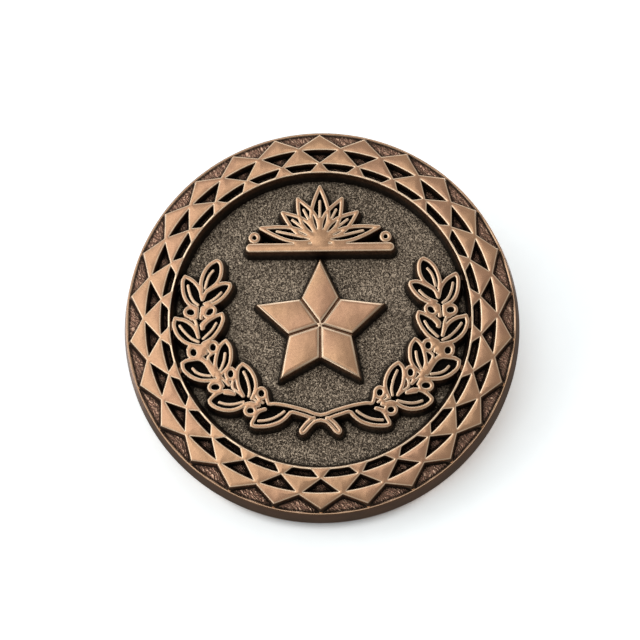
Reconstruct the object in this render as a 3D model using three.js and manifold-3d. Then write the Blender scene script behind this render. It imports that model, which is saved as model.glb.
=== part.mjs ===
// Round pin-back badge: a copper-plated disc with a geometric border, a laurel wreath, a plain
// five-pointed star and a leaf crest, two pointed posts soldered to its back, and a butterfly
// clutch on each post.
//
// Frame, in millimetres, as the badge is worn: +Z up, the face looks along -Y, the back of the
// disc is the plane Y = 0 and the posts point along +Y. Origin: centre of the back face.
//
// The face is built lying down, with x to the right, y up the badge and z the height above the
// back, and is turned upright at the end. Its drawing is laid out in drawing units.

import * as THREE from 'three';
import { mergeVertices } from 'three/addons/utils/BufferGeometryUtils.js';
import Module from 'manifold-3d';

// ------------------------------------------------------------------ driving dimensions
const DISC_R = 19;              // radius at the back edge
const UNIT = DISC_R / 1.07;     // one drawing unit: the disc is 1.07 of them in radius

// heights above the back
const THICKNESS = 3.5;          // top of the relief
const RECESS_H = 2.62;          // lip of the disc, and floor of the border's outer pockets
const RIM_FLOOR_H = RECESS_H - 0.02; // floor of the disc between lip and field
const FIELD_H = 1.7;            // the sunk field
const POCKET_H = 2.8;           // floor of the pockets inside leaves and berries
const SUNK_H = 1.2;             // foot of every relief solid, buried in the disc
const OVERCUT = 0.3;            // how far cutters stand above, and veins reach below, a surface

const POST_X = 8.5;             // the posts stand at plus and minus this
const POST_Z = 6;

const wasm = await Module();
wasm.setup();

// ------------------------------------------------------------------ solids and booleans
function signedVolume(geometry) {
  const { position } = geometry.attributes;
  const corners = [new THREE.Vector3(), new THREE.Vector3(), new THREE.Vector3()];
  let sum = 0;
  for (let i = 0; i < geometry.index.count; i += 3) {
    corners.forEach((corner, k) => corner.fromBufferAttribute(position, geometry.index.getX(i + k)));
    sum += corners[0].dot(corners[1].cross(corners[2])) / 6;
  }
  return sum;
}

// positions only, with shared vertices, no collapsed triangles and the faces turned outwards
function weld(geometry) {
  const bare = new THREE.BufferGeometry();
  bare.setAttribute('position', geometry.attributes.position);
  bare.setIndex(geometry.index);
  const welded = mergeVertices(bare, 1e-5);
  const keep = [];
  for (let i = 0; i < welded.index.count; i += 3) {
    const [a, b, c] = [0, 1, 2].map((k) => welded.index.getX(i + k));
    if (a !== b && b !== c && c !== a) keep.push(a, b, c);
  }
  welded.setIndex(keep);
  if (signedVolume(welded) < 0) welded.setIndex(keep.reverse());
  return welded;
}

function solid(geometry) {
  const welded = weld(geometry);
  return new wasm.Manifold(new wasm.Mesh({
    numProp: 3,
    vertProperties: new Float32Array(welded.attributes.position.array),
    triVerts: new Uint32Array(welded.index.array),
  }));
}

function geometryOf(manifold) {
  const mesh = manifold.getMesh();
  const geometry = new THREE.BufferGeometry();
  geometry.setAttribute('position', new THREE.BufferAttribute(mesh.vertProperties, 3));
  geometry.setIndex(new THREE.BufferAttribute(mesh.triVerts, 1));
  const welded = weld(geometry);
  welded.computeVertexNormals();
  return welded;
}

// joins a list two by two, so that each join stays small
function unite(solids) {
  let list = solids;
  while (list.length > 1) {
    const joined = [];
    for (let i = 0; i < list.length; i += 2) {
      joined.push(i + 1 < list.length ? list[i].add(list[i + 1]) : list[i]);
    }
    list = joined;
  }
  return list[0];
}

// a solid of revolution about Y; the profile is a list of [radius, y]
function turned(profile, sides) {
  const points = profile.map(([radius, y]) => new THREE.Vector2(radius, y));
  return solid(new THREE.LatheGeometry(points, sides));
}

// ------------------------------------------------------------------ outlines, lists of [x, y]
const distance = (a, b) => Math.hypot(a[0] - b[0], a[1] - b[1]);
const scaled = (outline) => outline.map(([x, y]) => [x * UNIT, y * UNIT]);
const mirrored = (line) => line.map(([x, y]) => [-x, y]);

// the outline without repeated points, counter-clockwise
function ccw(outline) {
  const next = (list, i) => list[(i + 1) % list.length];
  const tidy = outline.filter((point, i) => distance(point, next(outline, i)) > 1e-7);
  const doubleArea = tidy.reduce((sum, [x, y], i) => {
    const [nextX, nextY] = next(tidy, i);
    return sum + x * nextY - nextX * y;
  }, 0);
  return doubleArea < 0 ? tidy.reverse() : tidy;
}

// moves every side of a counter-clockwise outline outwards, with short mitres
function grow(outline, amount) {
  const count = outline.length;
  const normal = (a, b) => [(b[1] - a[1]) / distance(a, b), (a[0] - b[0]) / distance(a, b)];
  return outline.map((point, i) => {
    const before = normal(outline[(i + count - 1) % count], point);
    const after = normal(point, outline[(i + 1) % count]);
    const sum = [before[0] + after[0], before[1] + after[1]];
    const length = Math.hypot(...sum);
    const mitre = [sum[0] / length, sum[1] / length];
    const cosine = mitre[0] * before[0] + mitre[1] * before[1];
    const reach = amount * Math.min(1 / Math.max(cosine, 0.2), 1.9);
    return [point[0] + mitre[0] * reach, point[1] + mitre[1] * reach];
  });
}

// a point at a fraction of a turn, counter-clockwise from the top
function polar(radius, turn) {
  const angle = turn * 2 * Math.PI;
  return [-radius * Math.sin(angle), radius * Math.cos(angle)];
}

// a smooth line through the given points
function smooth(line, steps) {
  const points = line.map(([x, y]) => new THREE.Vector3(x, y, 0));
  const curve = new THREE.CatmullRomCurve3(points, false, 'centripetal');
  return curve.getPoints(steps).map(({ x, y }) => [x, y]);
}

// outline of a bar that follows a line, with blunt pointed ends
function bar(line, width) {
  const last = line.length - 1;
  const END = 0.8; // reach of an end beyond the line, in half widths
  const offset = (i, along, side) => {
    const from = line[Math.max(i - 1, 0)];
    const to = line[Math.min(i + 1, last)];
    const scale = width / 2 / distance(from, to);
    const [dx, dy] = [(to[0] - from[0]) * scale, (to[1] - from[1]) * scale];
    return [line[i][0] + dx * along - dy * side, line[i][1] + dy * along + dx * side];
  };
  return [
    offset(0, -END, 0),
    ...line.map((_, i) => offset(i, 0, 1)),
    offset(last, END, 0),
    ...line.map((_, i) => offset(i, 0, -1)).reverse(),
  ];
}

function circle(x, y, radius, sides) {
  return Array.from({ length: sides }, (_, i) => {
    const angle = 2 * Math.PI * i / sides;
    return [x + radius * Math.cos(angle), y + radius * Math.sin(angle)];
  });
}

// ------------------------------------------------------------------ solids from outlines
// a closed solid through [outline, z] layers from the top down, all with equally many points
function loft(layers) {
  const count = layers[0][0].length;
  const positions = layers.flatMap(([outline, z]) => outline.flatMap(([x, y]) => [x, y, z]));
  const triangulate = ([outline]) => THREE.ShapeUtils.triangulateShape(
    outline.map(([x, y]) => new THREE.Vector2(x, y)), []);
  const index = triangulate(layers[0]).flat();
  const foot = (layers.length - 1) * count;
  for (const [a, b, c] of triangulate(layers.at(-1))) index.push(foot + a, foot + c, foot + b);
  for (let start = 0; start < foot; start += count) {
    for (let i = 0; i < count; i++) {
      const upper = start + i;
      const upperNext = start + (i + 1) % count;
      index.push(upper, upper + count, upperNext + count, upper, upperNext + count, upperNext);
    }
  }
  const geometry = new THREE.BufferGeometry();
  geometry.setAttribute('position', new THREE.Float32BufferAttribute(positions, 3));
  geometry.setIndex(index);
  return solid(geometry);
}

// the outline at z = top, grown by the draft at z = bottom
function frustum(outline, bottom, top, draft = 0) {
  const upper = ccw(outline);
  return loft([[upper, top], [grow(upper, draft), bottom]]);
}

// the next three take outlines in drawing units
// a raised shape
const slab = (outline, draft) => frustum(scaled(outline), SUNK_H, THICKNESS, draft);
// a straight-walled cutter
const cutter = (outline, floor) => frustum(scaled(outline), floor, THICKNESS + OVERCUT);
// a cutter that narrows by the inset from the top of the relief to its floor
function taperedCutter(outline, inset, floor) {
  const mouth = ccw(scaled(outline));
  return loft([[mouth, THICKNESS + OVERCUT], [mouth, THICKNESS], [grow(mouth, -inset), floor]]);
}

// ------------------------------------------------------------------ disc
const SECTORS = 26;             // repeats of the border
const ARC = 3;                  // chords per border sector on the round edges
const BACK_RING_R = 3.5;        // ring of vertices on the flat back
const BORDER_IN = 0.80;         // inner edge of the border, in drawing units

function discSolid() {
  return turned([
    [0, 0], [BACK_RING_R, 0], [DISC_R, 0],
    [1.04 * UNIT, RECESS_H], [1.026 * UNIT, RIM_FLOOR_H],
    [0.86 * UNIT, RIM_FLOOR_H], [BORDER_IN * UNIT, RIM_FLOOR_H],
    [0.78 * UNIT, FIELD_H], [0, FIELD_H],
  ], SECTORS * ARC).rotate([90, 0, 0]);
}

// ------------------------------------------------------------------ border
const TOOTH_TIP = 1.014;        // radii of the zigzag outer edge, in drawing units
const TOOTH_ROOT = 0.945;
const BORDER_DRAFT = 0.5;
// pockets repeated in each sector: points are [radius in drawing units, place in sectors],
// measured from a tooth tip
const BORDER_POCKETS = [
  { points: [[.927, -.41], [.9285, 0], [.927, .41], [.858, 0]], inset: 0.33, floor: RECESS_H },
  { points: [[.847, .08], [.849, .5], [.847, .92], [.812, .73], [.812, .27]],
    inset: 0.2, floor: RECESS_H + 0.3 },
];

function borderSolid() {
  const zigzag = [];
  const inner = [];
  const pockets = [];
  for (let s = 0; s < SECTORS; s++) {
    zigzag.push(polar(TOOTH_TIP, s / SECTORS), polar(TOOTH_ROOT, (s + 0.5) / SECTORS));
    for (let k = 0; k < ARC; k++) inner.push(polar(BORDER_IN, (s + k / ARC) / SECTORS));
    for (const { points, inset, floor } of BORDER_POCKETS) {
      const outline = points.map(([radius, place]) => polar(radius, (s + place) / SECTORS));
      pockets.push(taperedCutter(outline, inset, floor));
    }
  }
  // the opening narrows slightly downwards
  const opening = frustum(scaled(inner), SUNK_H - 1, THICKNESS + 0.5, -0.1);
  return slab(zigzag, BORDER_DRAFT).subtract(opening).subtract(unite(pockets));
}

// ------------------------------------------------------------------ wreath, in drawing units
const LINE_W = 0.0172;          // width of a leaf's raised outline
const VEIN_W = LINE_W * 0.8;
const LEAF_DRAFT = 0.55;        // drafts in millimetres
const RELIEF_DRAFT = 0.5;

// leaves of the left branch: [one edge, other edge, vein]; both edges run from base to tip
const LEAVES = [
  [[[-.632, .160], [-.636, .187], [-.628, .227], [-.610, .267], [-.583, .297], [-.552, .314]],
    [[-.600, .150], [-.560, .180], [-.531, .230], [-.528, .283], [-.537, .305], [-.552, .314]],
    [[-.613, .165], [-.603, .205], [-.590, .235], [-.572, .257]]],
  [[[-.655, .053], [-.697, .077], [-.715, .100], [-.729, .137], [-.734, .177], [-.732, .207],
    [-.722, .227]],
    [[-.628, .098], [-.632, .117], [-.650, .170], [-.673, .198], [-.700, .217], [-.722, .227]],
    [[-.652, .073], [-.670, .087], [-.687, .113], [-.699, .147], [-.705, .177]]],
  [[[-.625, .100], [-.610, .137], [-.587, .155], [-.533, .183], [-.507, .188], [-.482, .184]],
    [[-.618, .057], [-.560, .080], [-.533, .097], [-.507, .123], [-.487, .152], [-.482, .184]],
    [[-.608, .080], [-.587, .088], [-.553, .111], [-.528, .137]]],
  [[[-.632, -.153], [-.667, -.148], [-.703, -.137], [-.733, -.117], [-.770, -.063],
    [-.777, -.033], [-.770, -.001]],
    [[-.645, -.105], [-.652, -.085], [-.677, -.041], [-.700, -.023], [-.727, -.010],
      [-.770, -.001]],
    [[-.745, -.042], [-.727, -.067], [-.703, -.093], [-.677, -.115], [-.652, -.127]]],
  [[[-.626, -.058], [-.612, -.033], [-.587, -.010], [-.553, .010], [-.522, .021]],
    [[-.617, -.137], [-.570, -.107], [-.550, -.083], [-.521, -.030], [-.515, -.003],
      [-.522, .021]],
    [[-.612, -.105], [-.597, -.090], [-.573, -.065], [-.552, -.030]]],
  [[[-.540, -.293], [-.553, -.260], [-.552, -.227], [-.537, -.167], [-.523, -.143],
    [-.500, -.124]],
    [[-.527, -.308], [-.487, -.267], [-.475, -.240], [-.471, -.210], [-.480, -.150],
      [-.500, -.124]],
    [[-.503, -.193], [-.507, -.227], [-.517, -.260], [-.529, -.285]]],
  [[[-.558, -.333], [-.593, -.338], [-.633, -.335], [-.667, -.323], [-.697, -.303],
    [-.722, -.275], [-.728, -.243]],
    [[-.568, -.305], [-.590, -.263], [-.613, -.235], [-.640, -.222], [-.673, -.224],
      [-.728, -.243]],
    [[-.673, -.273], [-.653, -.293], [-.623, -.307], [-.590, -.313]]],
  [[[-.405, -.420], [-.430, -.367], [-.437, -.333], [-.438, -.300], [-.430, -.270],
    [-.410, -.250]],
    [[-.359, -.435], [-.344, -.400], [-.338, -.367], [-.343, -.333], [-.357, -.300],
      [-.410, -.250]],
    [[-.403, -.293], [-.387, -.327], [-.377, -.360], [-.372, -.393], [-.376, -.415]]],
  [[[-.452, -.410], [-.480, -.395], [-.510, -.395], [-.540, -.405], [-.567, -.425],
    [-.581, -.441]],
    [[-.397, -.466], [-.423, -.483], [-.460, -.495], [-.500, -.495], [-.560, -.473],
      [-.581, -.441]],
    [[-.530, -.454], [-.500, -.463], [-.467, -.465], [-.415, -.455]]],
  [[[-.290, -.492], [-.315, -.500], [-.333, -.515], [-.345, -.537], [-.358, -.575]],
    [[-.160, -.512], [-.183, -.538], [-.213, -.560], [-.257, -.576], [-.300, -.582],
      [-.358, -.575]],
    [[-.323, -.553], [-.290, -.551], [-.250, -.541], [-.213, -.522], [-.196, -.510]]],
];
// centres of the left branch's berries
const BERRIES = [
  [-.689, .031], [-.588, .033], [-.670, -.187], [-.567, -.160],
  [-.552, -.372], [-.472, -.305], [-.367, -.499], [-.310, -.408],
];
const BERRY = { radius: 0.0375, hole: 0.0195, sides: 10 };
// centre line of the left stem, from its upper end to the middle of the badge
const STEM = [
  [-.630, .100], [-.642, .050], [-.645, 0], [-.640, -.050], [-.634, -.110], [-.624, -.150],
  [-.605, -.205], [-.580, -.255], [-.555, -.295], [-.520, -.335], [-.480, -.375],
  [-.430, -.408], [-.370, -.443], [-.310, -.466], [-.270, -.476], [-.200, -.486],
  [-.150, -.494], [-.100, -.507], [-.050, -.524], [0, -.538],
];
// the stem's tail, on the other side of the middle
const STEM_END = [[0, -.538], [.040, -.556], [.068, -.582], [.086, -.608]];
const STEM_W = 0.046;
const STEM_GROOVE_W = 0.010;
const STEM_GROOVE_H = THICKNESS - 0.4;  // floor of the groove, in millimetres

// ------------------------------------------------------------------ crest, in drawing units
const CREST_Y = 0.418;          // centre the leaves fan out from
const HUB_R = 0.055;
const FAN_START = 0.03;         // distance from that centre to a leaf's base
// leaves: [degrees from upright, distance from centre to tip, half width]
const FAN = [[0, .300, .046], [27, .262, .042], [52, .255, .040], [77, .325, .036]];
// leaf edge: [place along the leaf, share of the half width]
const LEAF_FORM = [[0, 0], [.14, .60], [.36, 1], [.60, .86], [.84, .40], [1, 0]];
const FAN_VEIN = [.26, .72];    // ends of the vein, as places along the leaf
const CREST_BAR = [[-.372, .381], [.372, .381]];
const CREST_BAR_W = 0.046;
const SCROLL_X = 0.352;         // one scroll at each side
const SCROLL_Y = 0.437;
const SCROLL = { radius: 0.030, hole: 0.0135, sides: 12 };
const HOLE_SIDES = 8;

// wreath and crest: slabs first, then cuts into them, then veins set into the pockets
function reliefSolid() {
  const slabs = [];
  const cuts = [];
  const veins = [];

  function addLeaf(edgeA, edgeB, vein) {
    const outline = ccw([...edgeA, ...[...edgeB].reverse()]);
    slabs.push(slab(grow(outline, LINE_W / 2), LEAF_DRAFT));
    cuts.push(cutter(grow(outline, -LINE_W / 2), POCKET_H));
    veins.push(frustum(scaled(bar(vein, VEIN_W)), POCKET_H - OVERCUT, THICKNESS));
  }
  function addRing(x, y, { radius, hole, sides }) {
    slabs.push(slab(circle(x, y, radius, sides), RELIEF_DRAFT));
    cuts.push(cutter(circle(x, y, hole, HOLE_SIDES), POCKET_H));
  }
  // a bar with a groove that starts some points in and stops one point short
  function addStem(line, grooveStart) {
    slabs.push(slab(bar(line, STEM_W), RELIEF_DRAFT));
    cuts.push(cutter(bar(line.slice(grooveStart, -1), STEM_GROOVE_W), STEM_GROOVE_H));
  }
  function addFanLeaf(angle, length, halfWidth) {
    const [dx, dy] = [Math.sin(angle), Math.cos(angle)];
    const put = (place, across) => {
      const along = FAN_START + place * (length - FAN_START);
      return [dx * along + dy * across, CREST_Y + dy * along - dx * across];
    };
    const edge = (side) => smooth(
      LEAF_FORM.map(([place, share]) => put(place, side * share * halfWidth)), 6);
    addLeaf(edge(-1), edge(1), FAN_VEIN.map((place) => put(place, 0)));
  }

  // the left branch, then its mirror image
  for (const flip of [(line) => line, mirrored]) {
    for (const [edgeA, edgeB, vein] of LEAVES) {
      addLeaf(flip(smooth(edgeA, 7)), flip(smooth(edgeB, 7)), flip(vein));
    }
    for (const [x, y] of flip(BERRIES)) addRing(x, y, BERRY);
    addStem(flip(smooth(STEM, 22)), 2);
    addStem(flip(smooth(STEM_END, 4)), 1);
  }

  for (const [degrees, length, halfWidth] of FAN) {
    for (const side of degrees ? [1, -1] : [1]) {
      addFanLeaf(side * degrees * Math.PI / 180, length, halfWidth);
    }
  }
  slabs.push(slab(bar(CREST_BAR, CREST_BAR_W), RELIEF_DRAFT));
  slabs.push(slab(circle(0, CREST_Y, HUB_R, 12), RELIEF_DRAFT));
  for (const side of [1, -1]) addRing(side * SCROLL_X, SCROLL_Y, SCROLL);

  return unite(slabs).subtract(unite(cuts)).add(unite(veins));
}

// ------------------------------------------------------------------ star, in drawing units
const STAR_R = 0.358;           // radius of the points
const STAR_IN = 0.172;          // radius of the inner corners
const STAR_Y = -0.042;
const STAR_DRAFT = 0.6;         // millimetres
const STAR_GROOVE_W = 0.013;
const STAR_GROOVE_H = THICKNESS - 0.45; // floor of the grooves, in millimetres
const STAR_GROOVE_OUT = STAR_IN * 1.2;  // a groove's outer end, past the inner corner
const STAR_GROOVE_IN = STAR_GROOVE_OUT * 0.12;

// star with five narrow grooves from near its centre to its inner corners
function starSolid() {
  const at = (radius, i) => {
    const [x, y] = polar(radius, i / 10);
    return [x, STAR_Y + y];
  };
  const outline = Array.from({ length: 10 }, (_, i) => at(i % 2 ? STAR_IN : STAR_R, i));
  let star = slab(outline, STAR_DRAFT);
  for (let i = 1; i < 10; i += 2) {
    const groove = bar([at(STAR_GROOVE_IN, i), at(STAR_GROOVE_OUT, i)], STAR_GROOVE_W);
    star = star.subtract(cutter(groove, STAR_GROOVE_H));
  }
  return star;
}

function badgeBody() {
  const badge = unite([discSolid(), borderSolid(), reliefSolid(), starSolid()]);
  return geometryOf(badge).rotateX(Math.PI / 2);
}

// ------------------------------------------------------------------ posts
// From here on the solids stand in the worn frame about a post's axis: profile points are
// [distance from the axis, distance from the back face].
const PAD_R = 2.5;              // foot of a post
const PAD_T = 0.5;
const PIN_R = 0.575;
const PIN_L = 7.6;              // from the back face to the point
const NECK_R = 0.40;            // neck behind the point
const NECK_Y = 5.2;             // where the pin starts to narrow
const SOLDER_R = 3.05;
const SOLDER_T = 0.38;

function postGeometry() {
  return geometryOf(turned([
    // pad and its root fillet
    [0, 0], [PAD_R, 0], [PAD_R, PAD_T - 0.1], [PAD_R - 0.1, PAD_T],
    [PIN_R + 0.15, PAD_T], [PIN_R, PAD_T + 0.15],
    // neck
    [PIN_R, NECK_Y], [NECK_R, NECK_Y + 0.25], [NECK_R, NECK_Y + 0.6], [PIN_R, NECK_Y + 0.85],
    // point
    [PIN_R * 0.9, PIN_L - 0.9], [0.08, PIN_L - 0.04], [0, PIN_L],
  ], 24));
}

// ring of solder round the pad
function solderGeometry() {
  return geometryOf(turned([
    [PAD_R, 0], [SOLDER_R, 0], [SOLDER_R - 0.22, 0.1],
    [PAD_R + 0.1, SOLDER_T - 0.08], [PAD_R, SOLDER_T], [PAD_R, 0],
  ], 24));
}

// ------------------------------------------------------------------ clutch base
const CUP_R = 5.75;
const CUP_Y = 0.95;             // its face towards the disc
const CUP_T = 0.4;              // sheet
const CUP_HOLE_R = 0.9;
const NUBS = 6;
const NUB_RING_R = 3.9;         // distance of the nubs from the axis

// stamped cup with a centre hole, a rolled rim and small nubs towards the disc
function cupGeometry() {
  let cup = turned([
    [CUP_HOLE_R, CUP_Y], [4.9, CUP_Y], [5.4, 1.1], [5.72, 1.45], [CUP_R, 1.75], [5.6, 2.05],
    [5.3, 2.12], [5.08, 1.98], [5.1, 1.75], [5.3, 1.62], [5.2, 1.45],
    [4.85, CUP_Y + CUP_T], [CUP_HOLE_R, CUP_Y + CUP_T], [CUP_HOLE_R, CUP_Y],
  ], 30);
  const nub = turned([
    [0, CUP_Y - 0.3], [0.14, CUP_Y - 0.28], [0.38, CUP_Y + 0.1], [0, CUP_Y + 0.1],
  ], 8);
  for (let i = 0; i < NUBS; i++) {
    const angle = (i + 0.5) * 2 * Math.PI / NUBS;
    const [x, z] = [NUB_RING_R * Math.cos(angle), NUB_RING_R * Math.sin(angle)];
    cup = cup.add(nub.translate([x, 0, z]));
  }
  return geometryOf(cup);
}

// ------------------------------------------------------------------ clutch cover
const COVER_HALF_X = 3.2;
const COVER_HALF_Z = 2.8;
const COVER_Y0 = CUP_Y + CUP_T; // it stands on the cup
const COVER_Y1 = 4.0;
const COVER_T = 0.3;            // sheet
const COVER_STEP = 0.2;         // step round its top edge
const SLOT_W = 4.3;             // side slots, along Z
const SLOT_H = 2.3;
const POST_HOLE_R = 0.95;       // clearance for the post in cover and wings

// a block with rounded corners, smaller than the cover by the inset all round
function coverBlock(inset, cornerR, y0, y1) {
  const cornerX = COVER_HALF_X - inset - cornerR;
  const cornerZ = COVER_HALF_Z - inset - cornerR;
  const shape = new THREE.Shape();
  [[1, -1], [1, 1], [-1, 1], [-1, -1]].forEach(([sideX, sideZ], i) => {
    const start = (i - 1) * Math.PI / 2;
    shape.absarc(sideX * cornerX, sideZ * cornerZ, cornerR, start, start + Math.PI / 2);
  });
  const options = { depth: y1 - y0, bevelEnabled: false, curveSegments: 4 };
  const block = new THREE.ExtrudeGeometry(shape, options);
  return solid(block.rotateX(-Math.PI / 2).translate(0, y0, 0));
}

// a cylinder on the post's axis, used as a cutter
function postHole(y0, y1) {
  return turned([[0, y0], [POST_HOLE_R, y0], [POST_HOLE_R, y1], [0, y1]], 20);
}

// cap with a slot at each X side for a wing and a hole for the post
function coverGeometry() {
  const slots = new THREE.BoxGeometry(12, SLOT_H, SLOT_W).translate(0, COVER_Y0 + 0.65, 0);
  return geometryOf(
    coverBlock(0, 0.9, COVER_Y0, COVER_Y1 - COVER_STEP)
      .add(coverBlock(COVER_STEP, 0.8, COVER_Y0 + COVER_STEP, COVER_Y1))
      .subtract(coverBlock(COVER_T, 0.65, COVER_Y0 - 0.5, COVER_Y1 - COVER_T))
      .subtract(solid(slots))
      .subtract(postHole(3, 6)));
}

// ------------------------------------------------------------------ clutch wings
const WING_T = 0.34;            // sheet
const WING_W = 5.2;             // width of the strip before the ear is cut
const NOTCH_X = 0.35;           // centre of the post notch in the foot
// centre line of the sheet, [x, y]: foot, bend through the slot, wing
const WING_LINE = [
  [1.15, 1.92], [2.2, 1.92], [3.1, 1.95], [3.6, 2.2], [3.95, 2.8],
  [4.2, 3.7], [4.32, 4.7], [4.25, 5.6], [3.95, 6.3],
];
// half outline of the ear, [z, y]: narrow in the slot, wide and round above it
const EAR = [
  [1.9, 1], [1.9, 3.55], [2.3, 3.95], [2.55, 4.6], [2.5, 5.3], [2.1, 6.0], [1.4, 6.45], [0, 6.7],
];

// the wing on the +X side
function wingGeometry() {
  const strip = frustum(bar(smooth(WING_LINE, 18), WING_T), -WING_W / 2, WING_W / 2);
  const ear = frustum([...EAR, ...mirrored(EAR).reverse()], -0.5, 7.5).rotate([0, 90, 0]);
  const notch = postHole(1, 3).translate([NOTCH_X, 0, 0]);
  return geometryOf(strip.intersect(ear).subtract(notch));
}

// ------------------------------------------------------------------ clutch spring
const WIRE_R = 0.2;
const SPRING_LEG = 3.1;
const SPRING_BEND_R = 0.95;     // also the distance of each leg from the post's axis
const SPRING_Y = 2.95;
const SPRING_Z0 = -2.0;         // free ends of the legs

// one leg along +Z, a half circle, and the other leg back
class Hairpin extends THREE.Curve {
  getPoint(t, target = new THREE.Vector3()) {
    const arc = Math.PI * SPRING_BEND_R;
    const bendZ = SPRING_Z0 + SPRING_LEG;
    const travelled = t * (2 * SPRING_LEG + arc);
    const pastLeg = travelled - SPRING_LEG;
    if (pastLeg < 0) return target.set(-SPRING_BEND_R, SPRING_Y, SPRING_Z0 + travelled);
    if (pastLeg > arc) return target.set(SPRING_BEND_R, SPRING_Y, bendZ - (pastLeg - arc));
    const angle = pastLeg / SPRING_BEND_R;
    return target.set(
      -SPRING_BEND_R * Math.cos(angle), SPRING_Y, bendZ + SPRING_BEND_R * Math.sin(angle));
  }
}

// bent wire with a leg each side of the post
function springGeometry() {
  const section = new THREE.Shape();
  section.absarc(0, 0, WIRE_R, 0, 2 * Math.PI);
  return geometryOf(solid(new THREE.ExtrudeGeometry(section, {
    steps: 26,
    extrudePath: new Hairpin(),
    curveSegments: 5,
    bevelEnabled: false,
  })));
}

// ------------------------------------------------------------------ materials
const metal = (options) => new THREE.MeshStandardMaterial({ metalness: 1, ...options });
const copper = metal({ color: 0xb98a63, roughness: 0.35 });
const steel = metal({ color: 0xb9b7b0, roughness: 0.3 });
const tin = metal({ color: 0x8f8f8c, roughness: 0.5 });
const brass = metal({ color: 0xc9a85c, roughness: 0.3 });
const bronze = metal({ color: 0xb58a4a, roughness: 0.35 });

// ------------------------------------------------------------------ assembly
const group = new THREE.Group();
function place(name, geometry, material, x = 0, z = 0) {
  const mesh = new THREE.Mesh(geometry, material);
  mesh.name = name;
  mesh.position.set(x, 0, z);
  group.add(mesh);
}

place('badge_body', badgeBody(), copper);

const post = postGeometry();
const solder = solderGeometry();
const cup = cupGeometry();
const cover = coverGeometry();
const spring = springGeometry();
const wingRight = wingGeometry();
const wingLeft = wingRight.clone().rotateY(Math.PI);

// the outer wing of each clutch is the one away from the middle of the badge
for (const [side, x, outer, inner] of [
  ['left', -POST_X, wingLeft, wingRight],
  ['right', POST_X, wingRight, wingLeft],
]) {
  place(`post_${side}`, post, steel, x, POST_Z);
  place(`solder_${side}`, solder, tin, x, POST_Z);
  place(`clutch_${side}_base`, cup, brass, x, POST_Z);
  place(`clutch_${side}_cover`, cover, brass, x, POST_Z);
  place(`clutch_${side}_spring`, spring, bronze, x, POST_Z);
  place(`clutch_${side}_wing_outer`, outer, brass, x, POST_Z);
  place(`clutch_${side}_wing_inner`, inner, brass, x, POST_Z);
}

export default group;
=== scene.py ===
# A round struck-copper badge: zigzag border, wreath, star and a crest of leaves, with two pins
# soldered to its back, each holding a butterfly clutch.
# World frame: metres, +Z up. The face looks along -Y, the flat back lies at y = 0 and the pins
# point along +Y. The badge is drawn in millimetres as (x right, y up, h out of the face).
import math

import bmesh
import bpy
import numpy as np
from mathutils import Matrix, Quaternion, Vector
from mathutils.geometry import delaunay_2d_cdt


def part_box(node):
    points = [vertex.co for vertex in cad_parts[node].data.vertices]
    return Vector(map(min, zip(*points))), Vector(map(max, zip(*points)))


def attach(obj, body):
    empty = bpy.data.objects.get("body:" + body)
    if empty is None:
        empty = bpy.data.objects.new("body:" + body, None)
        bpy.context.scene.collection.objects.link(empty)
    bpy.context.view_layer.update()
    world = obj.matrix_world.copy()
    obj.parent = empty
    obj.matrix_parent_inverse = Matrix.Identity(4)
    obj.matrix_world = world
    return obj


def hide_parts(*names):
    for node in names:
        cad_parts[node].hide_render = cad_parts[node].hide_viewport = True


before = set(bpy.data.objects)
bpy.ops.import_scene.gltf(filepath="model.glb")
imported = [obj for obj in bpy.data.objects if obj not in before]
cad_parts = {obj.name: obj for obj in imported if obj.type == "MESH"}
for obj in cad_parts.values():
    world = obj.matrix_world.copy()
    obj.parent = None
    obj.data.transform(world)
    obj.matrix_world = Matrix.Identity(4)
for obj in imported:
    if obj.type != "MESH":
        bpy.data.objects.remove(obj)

for spare in ("Cube", "Light", "Camera"):       # Blender's start-up objects
    if spare in bpy.data.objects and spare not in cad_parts:
        bpy.data.objects.remove(bpy.data.objects[spare])
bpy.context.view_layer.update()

# =============================================================================
# Sizes in mm
# =============================================================================
disc_low, disc_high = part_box("badge_body")
DISC_R = (disc_high.z - disc_low.z) * 500.0
THICK = (disc_high.y - disc_low.y) * 1000.0
UNIT = DISC_R / 1.07            # one drawing unit
LIP_R = 1.04 * UNIT             # outer edge of the face
RECESS_H = 0.748 * THICK        # floor under the border
FIELD_H = 0.486 * THICK         # sunk field inside the border
POCKET_H = 0.800 * THICK        # floor inside leaves, berries and the stem
GRID_STEP = 0.02

# =============================================================================
# The drawing, in drawing units
# =============================================================================
LINE = 0.0170                   # raised line width; the shares below multiply it
LEAF_SHARE, VEIN_SHARE, TWIG_SHARE, HOOP_SHARE = 1.17, .88, 1.08, 1.14

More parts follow.
